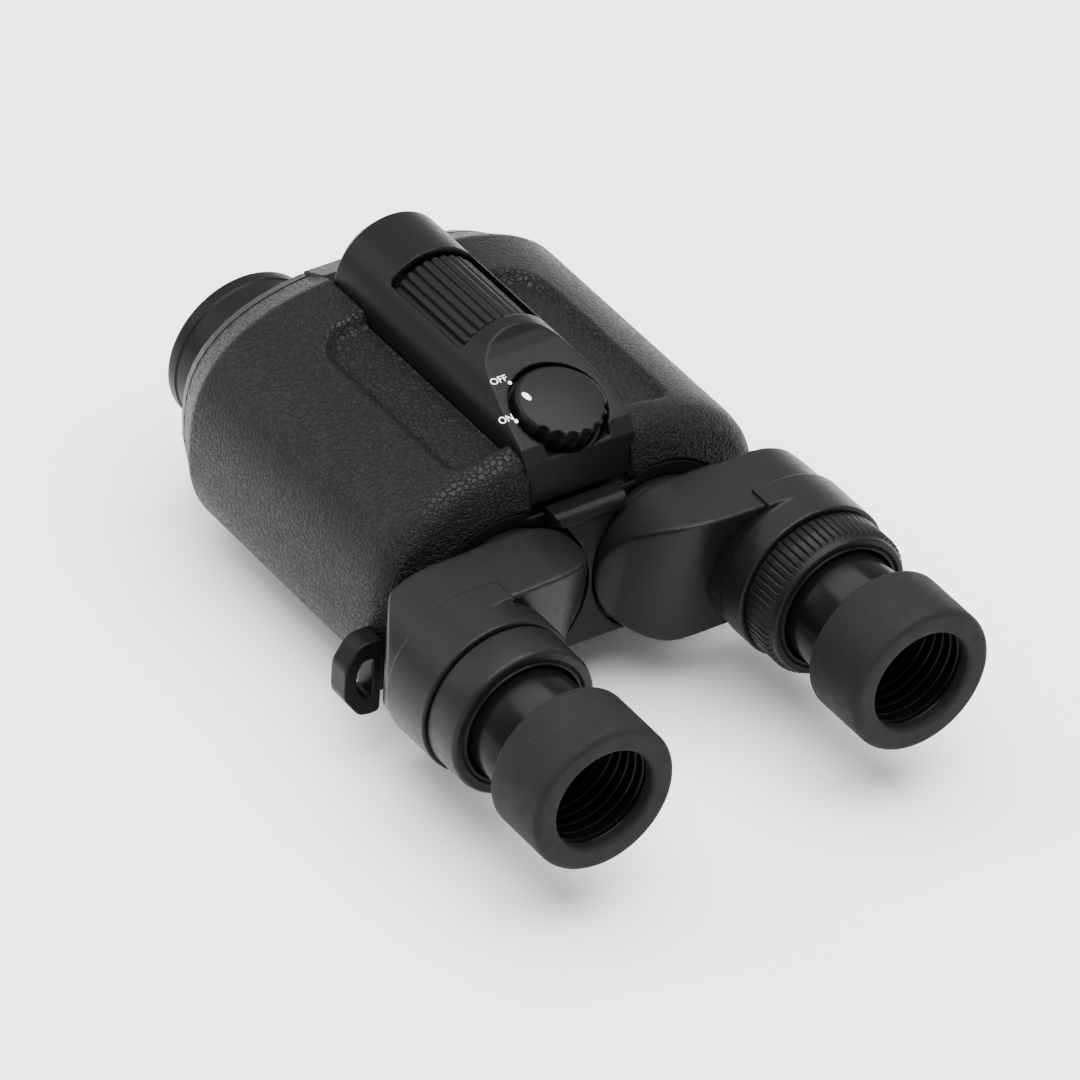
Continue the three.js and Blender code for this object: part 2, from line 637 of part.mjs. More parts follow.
// ---------------------------------------------------------------- strap lugs
function strapLug(side) {
  const loop = new THREE.Shape();
  loop.moveTo(45.3, -3);
  loop.lineTo(49.3, -3);
  loop.absarc(49.3, -6.4, 3.4, Math.PI / 2, 0, true);
  loop.lineTo(52.7, -15.8);
  loop.lineTo(48.8, -20.2);
  loop.lineTo(45.3, -20.2);
  const slot = new THREE.Path();
  slot.moveTo(46.3, -5.4);
  slot.lineTo(46.3, -18.2);
  slot.lineTo(48.2, -18.2);
  slot.lineTo(50.9, -15.2);
  slot.lineTo(50.9, -7.4);
  slot.absarc(48.9, -7.4, 2, 0, Math.PI / 2, false);
  loop.holes.push(slot);
  const ring = extrudeY(loop, LUG_REAR_Y, LUG_FRONT_Y, 6);
  const foot = block(42.8, 46.2, LUG_REAR_Y, LUG_FRONT_Y, -16, -8);
  const lug = join(ring, foot);
  return side > 0 ? lug : toGeometry(toSolid(lug).mirror([1, 0, 0]));
}

// ---------------------------------------------------------------- assembly
const group = new THREE.Group();
const binoculars = new THREE.Group();
group.add(binoculars);

addMesh(binoculars, 'body_chassis', bodyChassis(), 'inner');
addMesh(binoculars, 'front_plate', frontPlate(), 'plastic');
addMesh(binoculars, 'rear_plate', rearPlate(), 'plastic');
addMesh(binoculars, 'rear_bracket', rearBracket(), 'plastic');
addMesh(binoculars, 'base_plate', basePlate(), 'plastic');
addMesh(binoculars, 'top_cover', topCover(), 'plastic');
baseScrewPlaces.forEach(([x, y], i) => {
  addMesh(binoculars, `base_screw_${i + 1}`, baseScrew(x, y), 'steel');
});

addMesh(binoculars, 'battery_door', batteryDoor(), 'plastic');
addMesh(binoculars, 'battery_cell', rod(CELL_RADIUS, 106, 133, 24).translate(0, 0, CELL_Z), 'cell');
addMesh(binoculars, 'battery_contact', tube(4, 2.6, 133.4, 136.4, 20).translate(0, 0, CELL_Z), 'steel');

addMesh(binoculars, 'power_dial', powerDial(), 'plastic');
addMesh(binoculars, 'rotary_switch', rotarySwitch(), 'inner');
addMesh(binoculars, 'circuit_board', block(-17, 17, 73.4, 86, 14.4, 15.6), 'board');

addMesh(binoculars, 'focus_roller', focusRoller(), 'rubber');
addMesh(binoculars, 'focus_screw', focusScrew(), 'steel');
addMesh(binoculars, 'screw_bearing', screwBearing(), 'metal');
addMesh(binoculars, 'focus_carriage', focusCarriage(), 'inner');

addMesh(binoculars, 'gimbal_outer', gimbalOuter(), 'metal');
addMesh(binoculars, 'gimbal_inner', gimbalInner(), 'metal');
addMesh(binoculars, 'gimbal_bearing_upper', gimbalBearing(1), 'metal');
addMesh(binoculars, 'gimbal_bearing_lower', gimbalBearing(-1), 'metal');
addMesh(binoculars, 'yaw_coil', block(-9, 9, 76, 86, -24.4, -18.5), 'coil');
addMesh(binoculars, 'pitch_coil', block(-2.4, 2.4, 75.5, 85.2, -9, 9), 'coil');

SIDES.forEach(([word, side]) => {
  addMesh(binoculars, `${word}_armour`, armour(side), 'armour');
  addMesh(binoculars, `${word}_strap_lug`, strapLug(side), 'plastic');

  const objective = new THREE.Group();
  objective.position.x = side * PIVOT_X;
  binoculars.add(objective);
  addMesh(objective, `${word}_objective_barrel`, objectiveBarrel(), 'tube');
  addMesh(objective, `${word}_objective_lens`, objectiveLens(), 'glass');
  addMesh(objective, `${word}_objective_retainer`, tube(OBJECTIVE_RADIUS - 0.2, 12.6, 143.2, 145.4), 'tube');
  addMesh(objective, `${word}_erecting_prism`, erectingPrism(), 'glass');
  addMesh(objective, `${word}_pivot_retainer`, pivotRetainer(), 'steel');
  addMesh(objective, `${word}_sync_gear`, syncGear(side > 0 ? Math.PI + Math.PI / GEAR_TEETH : 0), 'metal');

  addMesh(binoculars, `${word}_arm_housing`, armHousing(side), 'plastic');
  addMesh(binoculars, `${word}_rhomboid_prism`, rhomboidPrism(side), 'glass');

  const eyepiece = new THREE.Group();
  eyepiece.position.x = side * EYE_X;
  binoculars.add(eyepiece);
  addMesh(eyepiece, `${word}_eyecup`, eyecupRubber(), 'rubber');
  addMesh(eyepiece, `${word}_eyecup_tube`, eyecupTube(), 'tube');
  addMesh(eyepiece, `${word}_helicoid_sleeve`, helicoidSleeve(), 'metal');
  addMesh(eyepiece, `${word}_lens_barrel`, lensBarrel(), 'inner');
  addMesh(eyepiece, `${word}_eye_lens`, eyeLens(), 'glass');
  addMesh(eyepiece, `${word}_field_lens`, fieldLens(), 'glass');
  if (side < 0) addMesh(eyepiece, 'left_eyepiece_ring', smoothRing(), 'plastic');
  else addMesh(eyepiece, 'diopter_ring', gripRing(40, 0.5), 'rubber');
});

binoculars.position.set(0, -LENGTH / 2, AXIS_HEIGHT);

export default group;
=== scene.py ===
import json
import math

import bpy
import numpy as np
from mathutils import Matrix, Vector


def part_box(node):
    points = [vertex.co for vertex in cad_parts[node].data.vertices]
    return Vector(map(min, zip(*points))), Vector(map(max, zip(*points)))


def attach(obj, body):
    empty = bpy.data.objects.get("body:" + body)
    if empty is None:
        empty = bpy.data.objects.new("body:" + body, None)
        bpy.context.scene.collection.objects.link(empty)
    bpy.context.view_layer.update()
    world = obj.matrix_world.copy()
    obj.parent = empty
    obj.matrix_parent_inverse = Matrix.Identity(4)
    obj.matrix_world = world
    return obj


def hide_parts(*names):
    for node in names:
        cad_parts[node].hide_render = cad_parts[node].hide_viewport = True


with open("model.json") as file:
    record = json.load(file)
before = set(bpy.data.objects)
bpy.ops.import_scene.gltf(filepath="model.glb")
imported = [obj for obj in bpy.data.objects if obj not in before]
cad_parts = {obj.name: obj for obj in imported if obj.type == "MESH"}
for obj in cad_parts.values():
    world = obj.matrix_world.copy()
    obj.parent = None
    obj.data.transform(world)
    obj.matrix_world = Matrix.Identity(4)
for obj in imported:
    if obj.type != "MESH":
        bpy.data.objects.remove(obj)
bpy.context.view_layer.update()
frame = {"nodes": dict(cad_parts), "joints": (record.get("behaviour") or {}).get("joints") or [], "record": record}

# Shapes are drawn in millimetres about the optical axes: x = 0 midway, y = 0 at the eyecup rims and
# z = 0 on the axes. place() turns such a point into the frame's metres.
MM = 0.001
NODES = frame["nodes"]


def middle(node):
    low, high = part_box(node)
    return (Vector(low) + Vector(high)) / 2


def low_mm(node, axis):
    return (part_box(node)[0][axis] - ZERO[axis]) / MM


def high_mm(node, axis):
    return (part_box(node)[1][axis] - ZERO[axis]) / MM


ZERO = Vector((0.0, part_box("left_eyecup")[0][1], middle("left_eyecup")[2]))
X, Y, Z = range(3)
EYE_X = middle("right_eyecup")[X] / MM
PIVOT_X = middle("right_objective_barrel")[X] / MM
LENGTH = high_mm("right_objective_barrel", Y)
SIDES = (("left", -1), ("right", 1))


# ------------------------------------------------------------------ materials
class Shader:
    """A Principled material with short helpers for its procedural inputs."""

    def __init__(self, name):
        self.material = bpy.data.materials.new(name)
        self.material.use_nodes = True
        self.tree = self.material.node_tree
        self.surface = self.tree.nodes["Principled BSDF"]
        self.coordinates = self.tree.nodes.new("ShaderNodeTexCoord").outputs["Object"]

    def add(self, kind, **inputs):
        node = self.tree.nodes.new(kind)
        for key, value in inputs.items():
            socket = node.inputs[key.replace("_", " ")]
            if isinstance(value, bpy.types.NodeSocket):
                self.tree.links.new(value, socket)
            else:
                socket.default_value = value
        return node

    def link(self, source, target):
        self.tree.links.new(source, target)

    def noise(self, scale, detail=4.0, roughness=0.55):
        node = self.add("ShaderNodeTexNoise", Scale=scale, Detail=detail, Roughness=roughness,
                        Vector=self.coordinates)
        return node.outputs["Fac"]

    def span(self, value, low, high, to_low, to_high):
        node = self.add("ShaderNodeMapRange", Value=value)
        node.inputs["From Min"].default_value = low
        node.inputs["From Max"].default_value = high
        node.inputs["To Min"].default_value = to_low
        node.inputs["To Max"].default_value = to_high
        return node.outputs["Result"]

    def mix(self, factor, first, second):
        node = self.tree.nodes.new("ShaderNodeMix")
        node.data_type = "RGBA"
        for socket, value in zip((node.inputs["Factor"], node.inputs[6], node.inputs[7]),
                                 (factor, first, second)):
            if isinstance(value, bpy.types.NodeSocket):
                self.link(value, socket)
            else:
                socket.default_value = value if isinstance(value, float) else (*value[:3], 1.0)
        return node.outputs[2]

    def bump(self, height, distance, strength=1.0, normal=None):
        node = self.add("ShaderNodeBump", Height=height, Distance=distance, Strength=strength)
        if normal is not None:
            self.link(normal, node.inputs["Normal"])
        return node.outputs["Normal"]

    def edges(self, start=0.56):
        """Rises from 0 to 1 on outward edges."""
        geometry = self.tree.nodes.new("ShaderNodeNewGeometry")
        return self.span(geometry.outputs["Pointiness"], start, start + 0.1, 0.0, 1.0)

    def finish(self, colour=None, roughness=None, normal=None, **fixed):
        linked = (("Base Color", colour), ("Roughness", roughness), ("Normal", normal))
        for socket_name, value in linked:
            if isinstance(value, bpy.types.NodeSocket):
                self.link(value, self.surface.inputs[socket_name])
            elif value is not None:
                whole = (*value, 1.0) if isinstance(value, tuple) else value
                self.surface.inputs[socket_name].default_value = whole
        for key, value in fixed.items():
            self.surface.inputs[key.replace("_", " ")].default_value = value
        return self.material


def grey(level, tint=0.0):
    return (level * (1 - tint), level, level * (1 + tint))


def grained_rubber():
    shader = Shader("grained_rubber")
    warp = shader.add("ShaderNodeTexNoise", Scale=900.0, Detail=2.0, Vector=shader.coordinates)
    shift = shader.tree.nodes.new("ShaderNodeVectorMath")
    shift.operation = "MULTIPLY_ADD"
    shader.link(warp.outputs["Color"], shift.inputs[0])
    shift.inputs[1].default_value = (0.0014, 0.0014, 0.0014)
    shader.link(shader.coordinates, shift.inputs[2])
    cells = shader.add("ShaderNodeTexVoronoi", Scale=780.0, Vector=shift.outputs[0])
    cells.feature = "DISTANCE_TO_EDGE"
    creases = shader.span(cells.outputs["Distance"], 0.0, 0.16, 0.0, 1.0)
    pebble = shader.bump(creases, 0.0002, 0.9)
    swell = shader.bump(shader.noise(420.0, 2.0), 0.00012, 0.4, pebble)
    skin = shader.bump(shader.noise(3600.0, 3.0), 0.00003, 0.5, swell)
    cloudy = shader.span(shader.noise(45.0, 3.0), 0.35, 0.7, 0.0, 0.4)
    base = shader.mix(cloudy, grey(0.0042, 0.08), grey(0.0064, 0.08))
    worn = shader.mix(shader.edges(), base, grey(0.016, 0.04))
    rough = shader.span(creases, 0.0, 1.0, 0.55, 0.39)
    return shader.finish(worn, rough, skin, Specular_IOR_Level=0.115)


def moulded_plastic(name, level, roughness, wear=0.56, shine=0.085):
    shader = Shader(name)
    tint = 0.05
    fine = shader.noise(5200.0, 2.0)
    orange_peel = shader.noise(900.0, 2.0)
    normal = shader.bump(fine, 0.00002, 0.8, shader.bump(orange_peel, 0.00001, 0.5))
    cloudy = shader.span(shader.noise(70.0, 3.0), 0.35, 0.7, 0.0, 0.3)
    base = shader.mix(cloudy, grey(level, tint), grey(level * 1.35, tint * 0.7))
    worn = shader.mix(shader.edges(wear), base, grey(level * 2.1, tint * 0.5))
    rough = shader.span(shader.noise(600.0, 3.0), 0.3, 0.7, roughness - 0.05, roughness + 0.06)
    return shader.finish(worn, rough, normal, Specular_IOR_Level=shine)


def dusty_rubber():
    shader = Shader("dusty_rubber")
    fine = shader.noise(4200.0, 3.0)
    normal = shader.bump(fine, 0.00003, 0.8)
    dust = shader.span(shader.noise(2600.0, 1.0, 0.4), 0.72, 0.8, 0.0, 0.5)
    cloudy = shader.span(shader.noise(90.0, 4.0), 0.35, 0.75, 0.0, 0.5)
    base = shader.mix(cloudy, grey(0.0075, 0.08), grey(0.011, 0.08))
    speckled = shader.mix(dust, base, grey(0.06))
    rough = shader.span(shader.noise(300.0, 3.0), 0.3, 0.7, 0.58, 0.72)
    return shader.finish(speckled, rough, normal, Specular_IOR_Level=0.09)


def gloss_black(name, level, roughness):
    shader = Shader(name)
    smudges = shader.span(shader.noise(160.0, 4.0), 0.4, 0.75, 0.0, 0.1)
    rings = shader.add("ShaderNodeTexWave", Scale=900.0, Distortion=0.4, Vector=shader.coordinates)
    rings.bands_direction = "Y"
    normal = shader.bump(rings.outputs["Fac"], 0.00001, 0.4)
    rough = shader.add("ShaderNodeMath", Value=smudges)
    rough.operation = "ADD"
    rough.inputs[1].default_value = roughness
    tone = shader.mix(smudges, grey(level), grey(level * 2.0))
    return shader.finish(tone, rough.outputs[0], normal, Specular_IOR_Level=0.075)


def metal(name, colour, roughness):
    shader = Shader(name)
    brushed = shader.add("ShaderNodeTexWave", Scale=1500.0, Distortion=3.0, Detail=2.0,
                         Vector=shader.coordinates)
    normal = shader.bump(brushed.outputs["Fac"], 0.00001, 0.4)
    stain = shader.span(shader.noise(220.0, 4.0), 0.4, 0.8, 0.0, 0.4)
    tone = shader.mix(stain, colour, tuple(0.6 * c for c in colour))
    rough = shader.span(shader.noise(700.0, 3.0), 0.3, 0.7, roughness - 0.06, roughness + 0.08)
    return shader.finish(tone, rough, normal, Metallic=1.0)


def coated_glass(name, colour):
    shader = Shader(name)
    facing = shader.add("ShaderNodeLayerWeight", Blend=0.35).outputs["Facing"]
    tone = shader.mix(facing, colour, tuple(0.5 * c for c in colour))
    haze = shader.span(shader.noise(400.0, 3.0), 0.4, 0.8, 0.01, 0.05)
    return shader.finish(tone, haze, Transmission_Weight=1.0, IOR=1.52)


def flat_paint(name, level):
    shader = Shader(name)
    blotches = shader.span(shader.noise(1500.0, 3.0), 0.4, 0.7, 0.0, 0.3)
    tone = shader.mix(blotches, grey(level), grey(level * 0.82))
    normal = shader.bump(shader.noise(5000.0, 2.0), 0.00001, 0.6)
    return shader.finish(tone, 0.5, normal)


def laminate(name, colour, second):
    shader = Shader(name)
    weave = shader.add("ShaderNodeTexBrick", Scale=900.0, Vector=shader.coordinates)
    tone = shader.mix(shader.span(shader.noise(600.0, 3.0), 0.4, 0.6, 0.0, 1.0), colour, second)
    normal = shader.bump(weave.outputs["Fac"], 0.00002, 0.5)
    return shader.finish(tone, 0.4, normal)


ARMOUR = grained_rubber()
COVER = moulded_plastic("cover_plastic", 0.0044, 0.36)
ARM = moulded_plastic("arm_plastic", 0.0055, 0.37, wear=0.63, shine=0.12)
DARK = moulded_plastic("dark_plastic", 0.004, 0.5)
FRAME = moulded_plastic("frame_plastic", 0.02, 0.55)
GRIP = moulded_plastic("grip_plastic", 0.0055, 0.34)
EYECUP = dusty_rubber()
TUBE = gloss_black("gloss_black", 0.003, 0.2)
INSIDE = gloss_black("inner_black", 0.0015, 0.5)
BARREL = moulded_plastic("barrel_paint", 0.0042, 0.36)
LENS = coated_glass("coated_lens", (0.75, 0.9, 0.86))
PRISM = coated_glass("prism_glass", (0.9, 0.95, 0.96))
STEEL = metal("plated_steel", (0.6, 0.61, 0.63), 0.3)
ALLOY = metal("machined_alloy", (0.55, 0.56, 0.58), 0.4)
COPPER = metal("copper_winding", (0.6, 0.28, 0.12), 0.35)
BOARD = laminate("circuit_laminate", (0.01, 0.09, 0.035), (0.015, 0.12, 0.05))
MARKS = flat_paint("white_marks", 0.85)
SCREW = moulded_plastic("black_screw", 0.008, 0.3)

CAD_FINISH = {
    "armour": ARMOUR, "cover": COVER, "arm": ARM, "eyecup_rubber": EYECUP, "grip": GRIP, "tube": INSIDE,
    "barrel": BARREL, "frame": FRAME, "light_alloy": ALLOY, "steel": STEEL, "screw_black": SCREW,
    "lens": LENS, "prism": PRISM, "board": BOARD, "coil": COPPER, "cell": STEEL,
}


def paint_cad_nodes():
    """Gives every CAD node the material of its slot, for those that no piece replaces."""
    for part in frame["record"]["subparts"]:
        mesh = NODES[part["node"]].data
        mesh.materials.clear()
        mesh.materials.append(CAD_FINISH[part["material_slot"]])


# ------------------------------------------------------------------ mesh helpers
def place(points):
    """Turns millimetres about the optical axes into the frame's metres."""
    return np.asarray(points, dtype=float) * MM + np.array(ZERO)


def new_object(name, points, faces):
    mesh = bpy.data.meshes.new(name)
    mesh.from_pydata(place(points).tolist(), [], [list(map(int, face)) for face in faces])
    mesh.validate()
    mesh.update()
    piece = bpy.data.objects.new(name, mesh)
    bpy.context.scene.collection.objects.link(piece)
    return piece


def settle(piece, material, body, slot, *nodes, smooth=True):
    """Gives a finished piece its material and its body, and hides the CAD nodes it stands for. The slot is not
    used.
    """
    piece.data.materials.clear()
    piece.data.materials.append(material)
    piece.data.polygons.foreach_set("use_smooth", [smooth] * len(piece.data.polygons))
    piece.data.update()
    if nodes:
        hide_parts(*nodes)
    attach(piece, body)


def grid_faces(rows, columns, close_rows=False, close_columns=False):
    """The faces of a grid of points, which may close on itself either way."""
    faces = []
    for r in range(rows if close_rows else rows - 1):
        for c in range(columns if close_columns else columns - 1):
            r2, c2 = (r + 1) % rows, (c + 1) % columns
            faces.append((r * columns + c, r2 * columns + c, r2 * columns + c2, r * columns + c2))
    return faces


def layered_faces(layers, count):
    """The faces of a solid made of outlines of count points each, one over another."""
    faces = [tuple(range(count))[::-1], tuple(range((layers - 1) * count, layers * count))]
    for base in range(0, (layers - 1) * count, count):
        faces += [(base + i, base + (i + 1) % count, base + (i + 1) % count + count, base + i + count)
                  for i in range(count)]
    return faces


def rounded(corners, steps=6):
    """A closed outline through (a, b, fillet radius) corners, with each corner turned into an arc."""
    points = []
    count = len(corners)
    for i, (a, b, radius) in enumerate(corners):
        here = np.array((a, b), float)
        if radius <= 0:
            points.append(here)
            continue
        before = np.array(corners[i - 1][:2], float) - here
        after = np.array(corners[(i + 1) % count][:2], float) - here
        reach_before, reach_after = np.linalg.norm(before), np.linalg.norm(after)
        before, after = before / reach_before, after / reach_after
        turn = math.acos(max(-1.0, min(1.0, float(before @ after))))
        if turn > math.pi - 0.02:
            points.append(here)
            continue
        cut = min(radius / math.tan(turn / 2), 0.49 * reach_before, 0.49 * reach_after)
        true_radius = cut * math.tan(turn / 2)
        bisector = (before + after) / np.linalg.norm(before + after)
        centre = here + bisector * true_radius / math.sin(turn / 2)
        start = here + before * cut - centre
        end = here + after * cut - centre
        sweep = math.pi - turn
        for k in range(steps + 1):
            t = k / steps
            arc = (math.sin((1 - t) * sweep) * start + math.sin(t * sweep) * end) / math.sin(sweep)
            points.append(centre + arc)
    return np.array(points)


def turned(name, profile, x=0.0, z=0.0, segments=128, wave=None):
    """A ring turned about Y from a closed (radius, y) profile. wave(angle, radius, y) adds to the radius."""
    profile = np.asarray(profile)
    r, y = profile[:, 0], profile[:, 1]
    area = float(np.sum(r * np.roll(y, -1) - np.roll(r, -1) * y))
    if area > 0:
        profile = profile[::-1]
    points = []
    for k in range(segments):
        angle = 2 * math.pi * k / segments
        for radius, along in profile:
            grown = radius + (wave(angle, radius, along) if wave else 0.0)
            points.append((x + grown * math.cos(angle), along, z + grown * math.sin(angle)))
    faces = grid_faces(segments, len(profile), True, True)
    return new_object(name, points, faces)


def disc(name, profile, x=0.0, z=0.0, segments=96):
    """A solid turned about Y from a (radius, y) profile that starts and ends on the axis."""
    profile = np.asarray(profile)
    r, y = profile[:, 0], profile[:, 1]
    if float(np.sum(r[:-1] * y[1:] - r[1:] * y[:-1])) > 0:
        profile = profile[::-1]
    rim = profile[1:-1]
    points = [(x, profile[0][1], z), (x, profile[-1][1], z)]
    for k in range(segments):
        angle = 2 * math.pi * k / segments
        points += [(x + radius * math.cos(angle), along, z + radius * math.sin(angle))
                   for radius, along in rim]
    faces = [(a + 2, b + 2, c + 2, d + 2) for a, b, c, d in grid_faces(segments, len(rim), True, False)]
    count = len(rim)
    for k in range(segments):
        here, after = 2 + k * count, 2 + ((k + 1) % segments) * count
        faces.append((0, after, here))
        faces.append((1, here + count - 1, after + count - 1))
    return new_object(name, points, faces)


def slab(outline, low, high, axis):
    """A solid between two planes across axis, with an outline of points in the other two directions."""
    outline = np.asarray(outline, float)
    a, b = outline[:, 0], outline[:, 1]
    area = float(np.sum(a * np.roll(b, -1) - np.roll(a, -1) * b))
    if (area < 0) != (axis == Y):
        outline = outline[::-1]
    points = []
    for level in (low, high):
        for a, b in outline:
            points.append({X: (level, a, b), Y: (a, level, b), Z: (a, b, level)}[axis])
    return points, layered_faces(2, len(outline))


def box_points(x0, x1, y0, y1, z0, z1):
    return slab([(x0, y0), (x1, y0), (x1, y1), (x0, y1)], z0, z1, Z)


def rod(radius, y0, y1, x=0.0, z=0.0, segments=96):
    """A solid round bar along Y."""
    turns = [2 * math.pi * k / segments for k in range(segments)]
    return slab([(x + radius * math.cos(t), z + radius * math.sin(t)) for t in turns], y0, y1, Y)


def carve(name, solid, steps, voxel=0.3, smoothing=4):
    """Joins and cuts solids, then remeshes and smooths the result so that its edges come out rounded.

    solid is (points, faces), and each step is ("UNION", "DIFFERENCE" or "INTERSECT", (points, faces)).
    With voxel 0 the edges stay sharp."""
    base = new_object(name, *solid)
    helpers = []
    for operation, tool in steps:
        helper = new_object(name + "_tool", *tool)
        helpers.append(helper)
        modifier = base.modifiers.new("cut", "BOOLEAN")
        modifier.operation = operation
        modifier.solver = "EXACT"
        modifier.object = helper
    if voxel:
        remesh = base.modifiers.new("remesh", "REMESH")
        remesh.mode = "VOXEL"
        remesh.voxel_size = voxel * MM
        relax = base.modifiers.new("relax", "SMOOTH")
        relax.factor = 0.5
        relax.iterations = smoothing
    graph = bpy.context.evaluated_depsgraph_get()
    final = bpy.data.meshes.new_from_object(base.evaluated_get(graph))
    base.modifiers.clear()
    old = base.data
    base.data = final
    bpy.data.meshes.remove(old)
    for helper in helpers:
        bpy.data.meshes.remove(helper.data)
    return base


def moved(solid, matrix):
    points, faces = solid
    return [tuple(matrix @ Vector(p)) for p in points], faces


# ------------------------------------------------------------------ the body's rounded section
HALF_WIDTH = high_mm("right_armour", X)
HALF_HEIGHT = -low_mm("base_plate", Z)
ROUNDNESS = 2.6
BODY_FRONT = high_mm("front_plate", Y)
COVER_EDGE = high_mm("top_cover", X) + 0.3
BASE_EDGE = high_mm("base_plate", X) + 0.3
RUBBER = 3.0
REAR_INSET = 4.9
ARCH = 18.4
REST_MIDDLE, REST_HALF_LENGTH, REST_HALF_WIDTH = 98.7, 26.3, 26.9


def ease(t):
    """Rises smoothly from 0 to 1 as t does."""
    t = np.clip(t, 0.0, 1.0)
    return t * t * (3 - 2 * t)


def section(angle, inset):
    """A point of the body's section: angle 0 is the right side, 90 degrees the top."""
    c, s = math.cos(angle), math.sin(angle)
    power = 2 / ROUNDNESS
    x = (HALF_WIDTH - inset) * math.copysign(abs(c) ** power, c)
    z = (HALF_HEIGHT - inset) * math.copysign(abs(s) ** power, s)
    return x, z


def angle_at_x(x):
    return math.acos(min(1.0, (abs(x) / HALF_WIDTH) ** (ROUNDNESS / 2)))


def rounded_depth(x, y):
    """How far a place on the top lies inside the finger rest's outline, in millimetres."""
    corner = 9.0 if y > REST_MIDDLE else 4.0
    over = (abs(x) - REST_HALF_WIDTH + corner, abs(y - REST_MIDDLE) - REST_HALF_LENGTH + corner)
    outside = math.hypot(max(over[0], 0.0), max(over[1], 0.0)) + min(max(over), 0.0)
    return corner - outside


def finger_rest(x, y):
    """How deep the finger rest beside the cover is at a place on the top, in millimetres."""
    wall = 3.0
    depth = 2.7 - 0.9 * (abs(x) - 13.0) / 14.0
    return depth * float(ease(rounded_depth(x, y) / wall))


def arch(x, z):
    """The nearest point on the arch round the arm's pivot, where the armour's rear face ends."""
    if abs(x) < PIVOT_X:
        return x, math.copysign(math.sqrt(ARCH ** 2 - (abs(x) - PIVOT_X) ** 2), z)
    centre = math.copysign(PIVOT_X, x)
    reach = math.hypot(x - centre, z)
    return centre + (x - centre) * ARCH / reach, z * ARCH / reach


def underside(y):
    """The lowest height of the body at y: its rear end slopes up to the arch."""
    return max(-30.0, -20.6 - 0.58 * (y - 67.3))


def shell(name, angles, outer_rows, inner_rows, depths, side=1, rest=False):
    """A closed shell over part of the body's section. Each row is (y, inset, pull towards the arch).

    depths say how far the outer and the inner rows stay above the sloping underside."""
    rows = [(*row, True) for row in outer_rows] + [(*row, False) for row in inner_rows]
    points = []
    for angle in angles:
        for y, inset, pull, outside in rows:
            x, z = section(angle, inset)
            if pull:
                arch_x, arch_z = arch(x, z)
                x, z = x + (arch_x - x) * pull, z + (arch_z - z) * pull
            elif rest and z > 0 and outside:
                z -= finger_rest(x, y)
            depth = depths[0] if outside else depths[1]
            points.append((side * x, y, max(z, underside(y) + depth)))
    count = len(rows)
    faces = grid_faces(len(angles), count, False, True)
    faces += [tuple(range(count))[::-1], tuple(range((len(angles) - 1) * count, len(angles) * count))]
    if side > 0:
        faces = [face[::-1] for face in faces]
    return new_object(name, points, faces)


def armour(word, side):
    """One half of the rubber armour, from its front bevel over the rear shoulder to the arch."""
    bevel_rear, bevel_front, shoulder = 137.0, BODY_FRONT - 1.0, 74.4
    outer = [(BODY_FRONT, 6.2, 0), (BODY_FRONT, 5.6, 0), (BODY_FRONT - 0.15, 5.1, 0),
             (BODY_FRONT - 0.6, 4.65, 0)]
    outer += [(y, 4.4 * (y - bevel_rear) / (bevel_front - bevel_rear), 0)
              for y in np.linspace(bevel_front, bevel_rear + 0.7, 14)]
    outer += [(bevel_rear + 0.2, 0.16, 0), (bevel_rear - 0.3, 0.03, 0)]
    outer += [(float(y), 0.0, 0) for y in np.arange(bevel_rear - 0.9, shoulder + 0.2, -0.55)]
    outer += [(y, 0.55 * (shoulder - y) ** 2 / 24.0, 0) for y in (73.6, 72.8, 72.0, 71.2, 70.4)]
    outer += [(69.7, 0.62, 0), (69.0, 0.95, 0), (68.4, 1.35, 0), (67.8, 1.9, 0), (67.35, 2.5, 0),
              (67.0, 3.2, 0), (66.75, 4.0, 0), (66.6, REAR_INSET, 0)]
    outer += [(66.5 - 1.2 * t, REAR_INSET, float(t)) for t in np.linspace(0.12, 0.96, 9)]
    outer += [(65.4, REAR_INSET, 0.99), (65.6, REAR_INSET, 1.0)]
    inner = [(68.4, REAR_INSET, 1.0), (68.8, 6.2, 0.5), (69.6, 5.4, 0), (71.4, RUBBER, 0), (104.0, RUBBER, 0),
             (136.8, RUBBER, 0), (145.4, 6.9, 0)]
    angles = np.linspace(angle_at_x(COVER_EDGE), -angle_at_x(BASE_EDGE), 150)
    piece = shell(f"{word}_armour_skin", angles, outer, inner, (0.0, RUBBER), side, True)
    settle(piece, ARMOUR, "body", "armour", f"{word}_armour")


def chassis():
    """The plastic shell under the armour, open along the top where the cover lies."""
    outside, inside, lip = 3.4, 5.4, 9.0
    outer = [(145.4, lip, 0), (144.2, 7.2, 0), (137.4, outside, 0), (72.6, outside, 0), (70.4, 6.4, 0),
             (70.0, lip, 0)]
    inner = [(71.6, lip, 0), (74.0, inside, 0), (136.0, inside, 0), (142.0, lip, 0)]
    top = angle_at_x(COVER_EDGE)
    angles = np.linspace(top, -math.pi - top, 120)
    piece = shell("body_shell", angles, outer, inner, (outside, inside))
    settle(piece, FRAME, "body", "frame", "body_chassis")


def stepped_stadium(radius, half_height):
    """An outline round both pivots, lower between them where the cover and the bracket reach in."""
    middle_half = 13.0
    turn = math.acos((middle_half - PIVOT_X) / radius)
    right = [(PIVOT_X + radius * math.cos(t), radius * math.sin(t)) for t in np.linspace(-turn, turn, 90)]
    left = [(-x, z) for x, z in reversed(right)]
    upper = [(middle_half, half_height), (-middle_half, half_height)]
    lower = [(-x, -z) for x, z in upper]
    return right + upper + left + lower


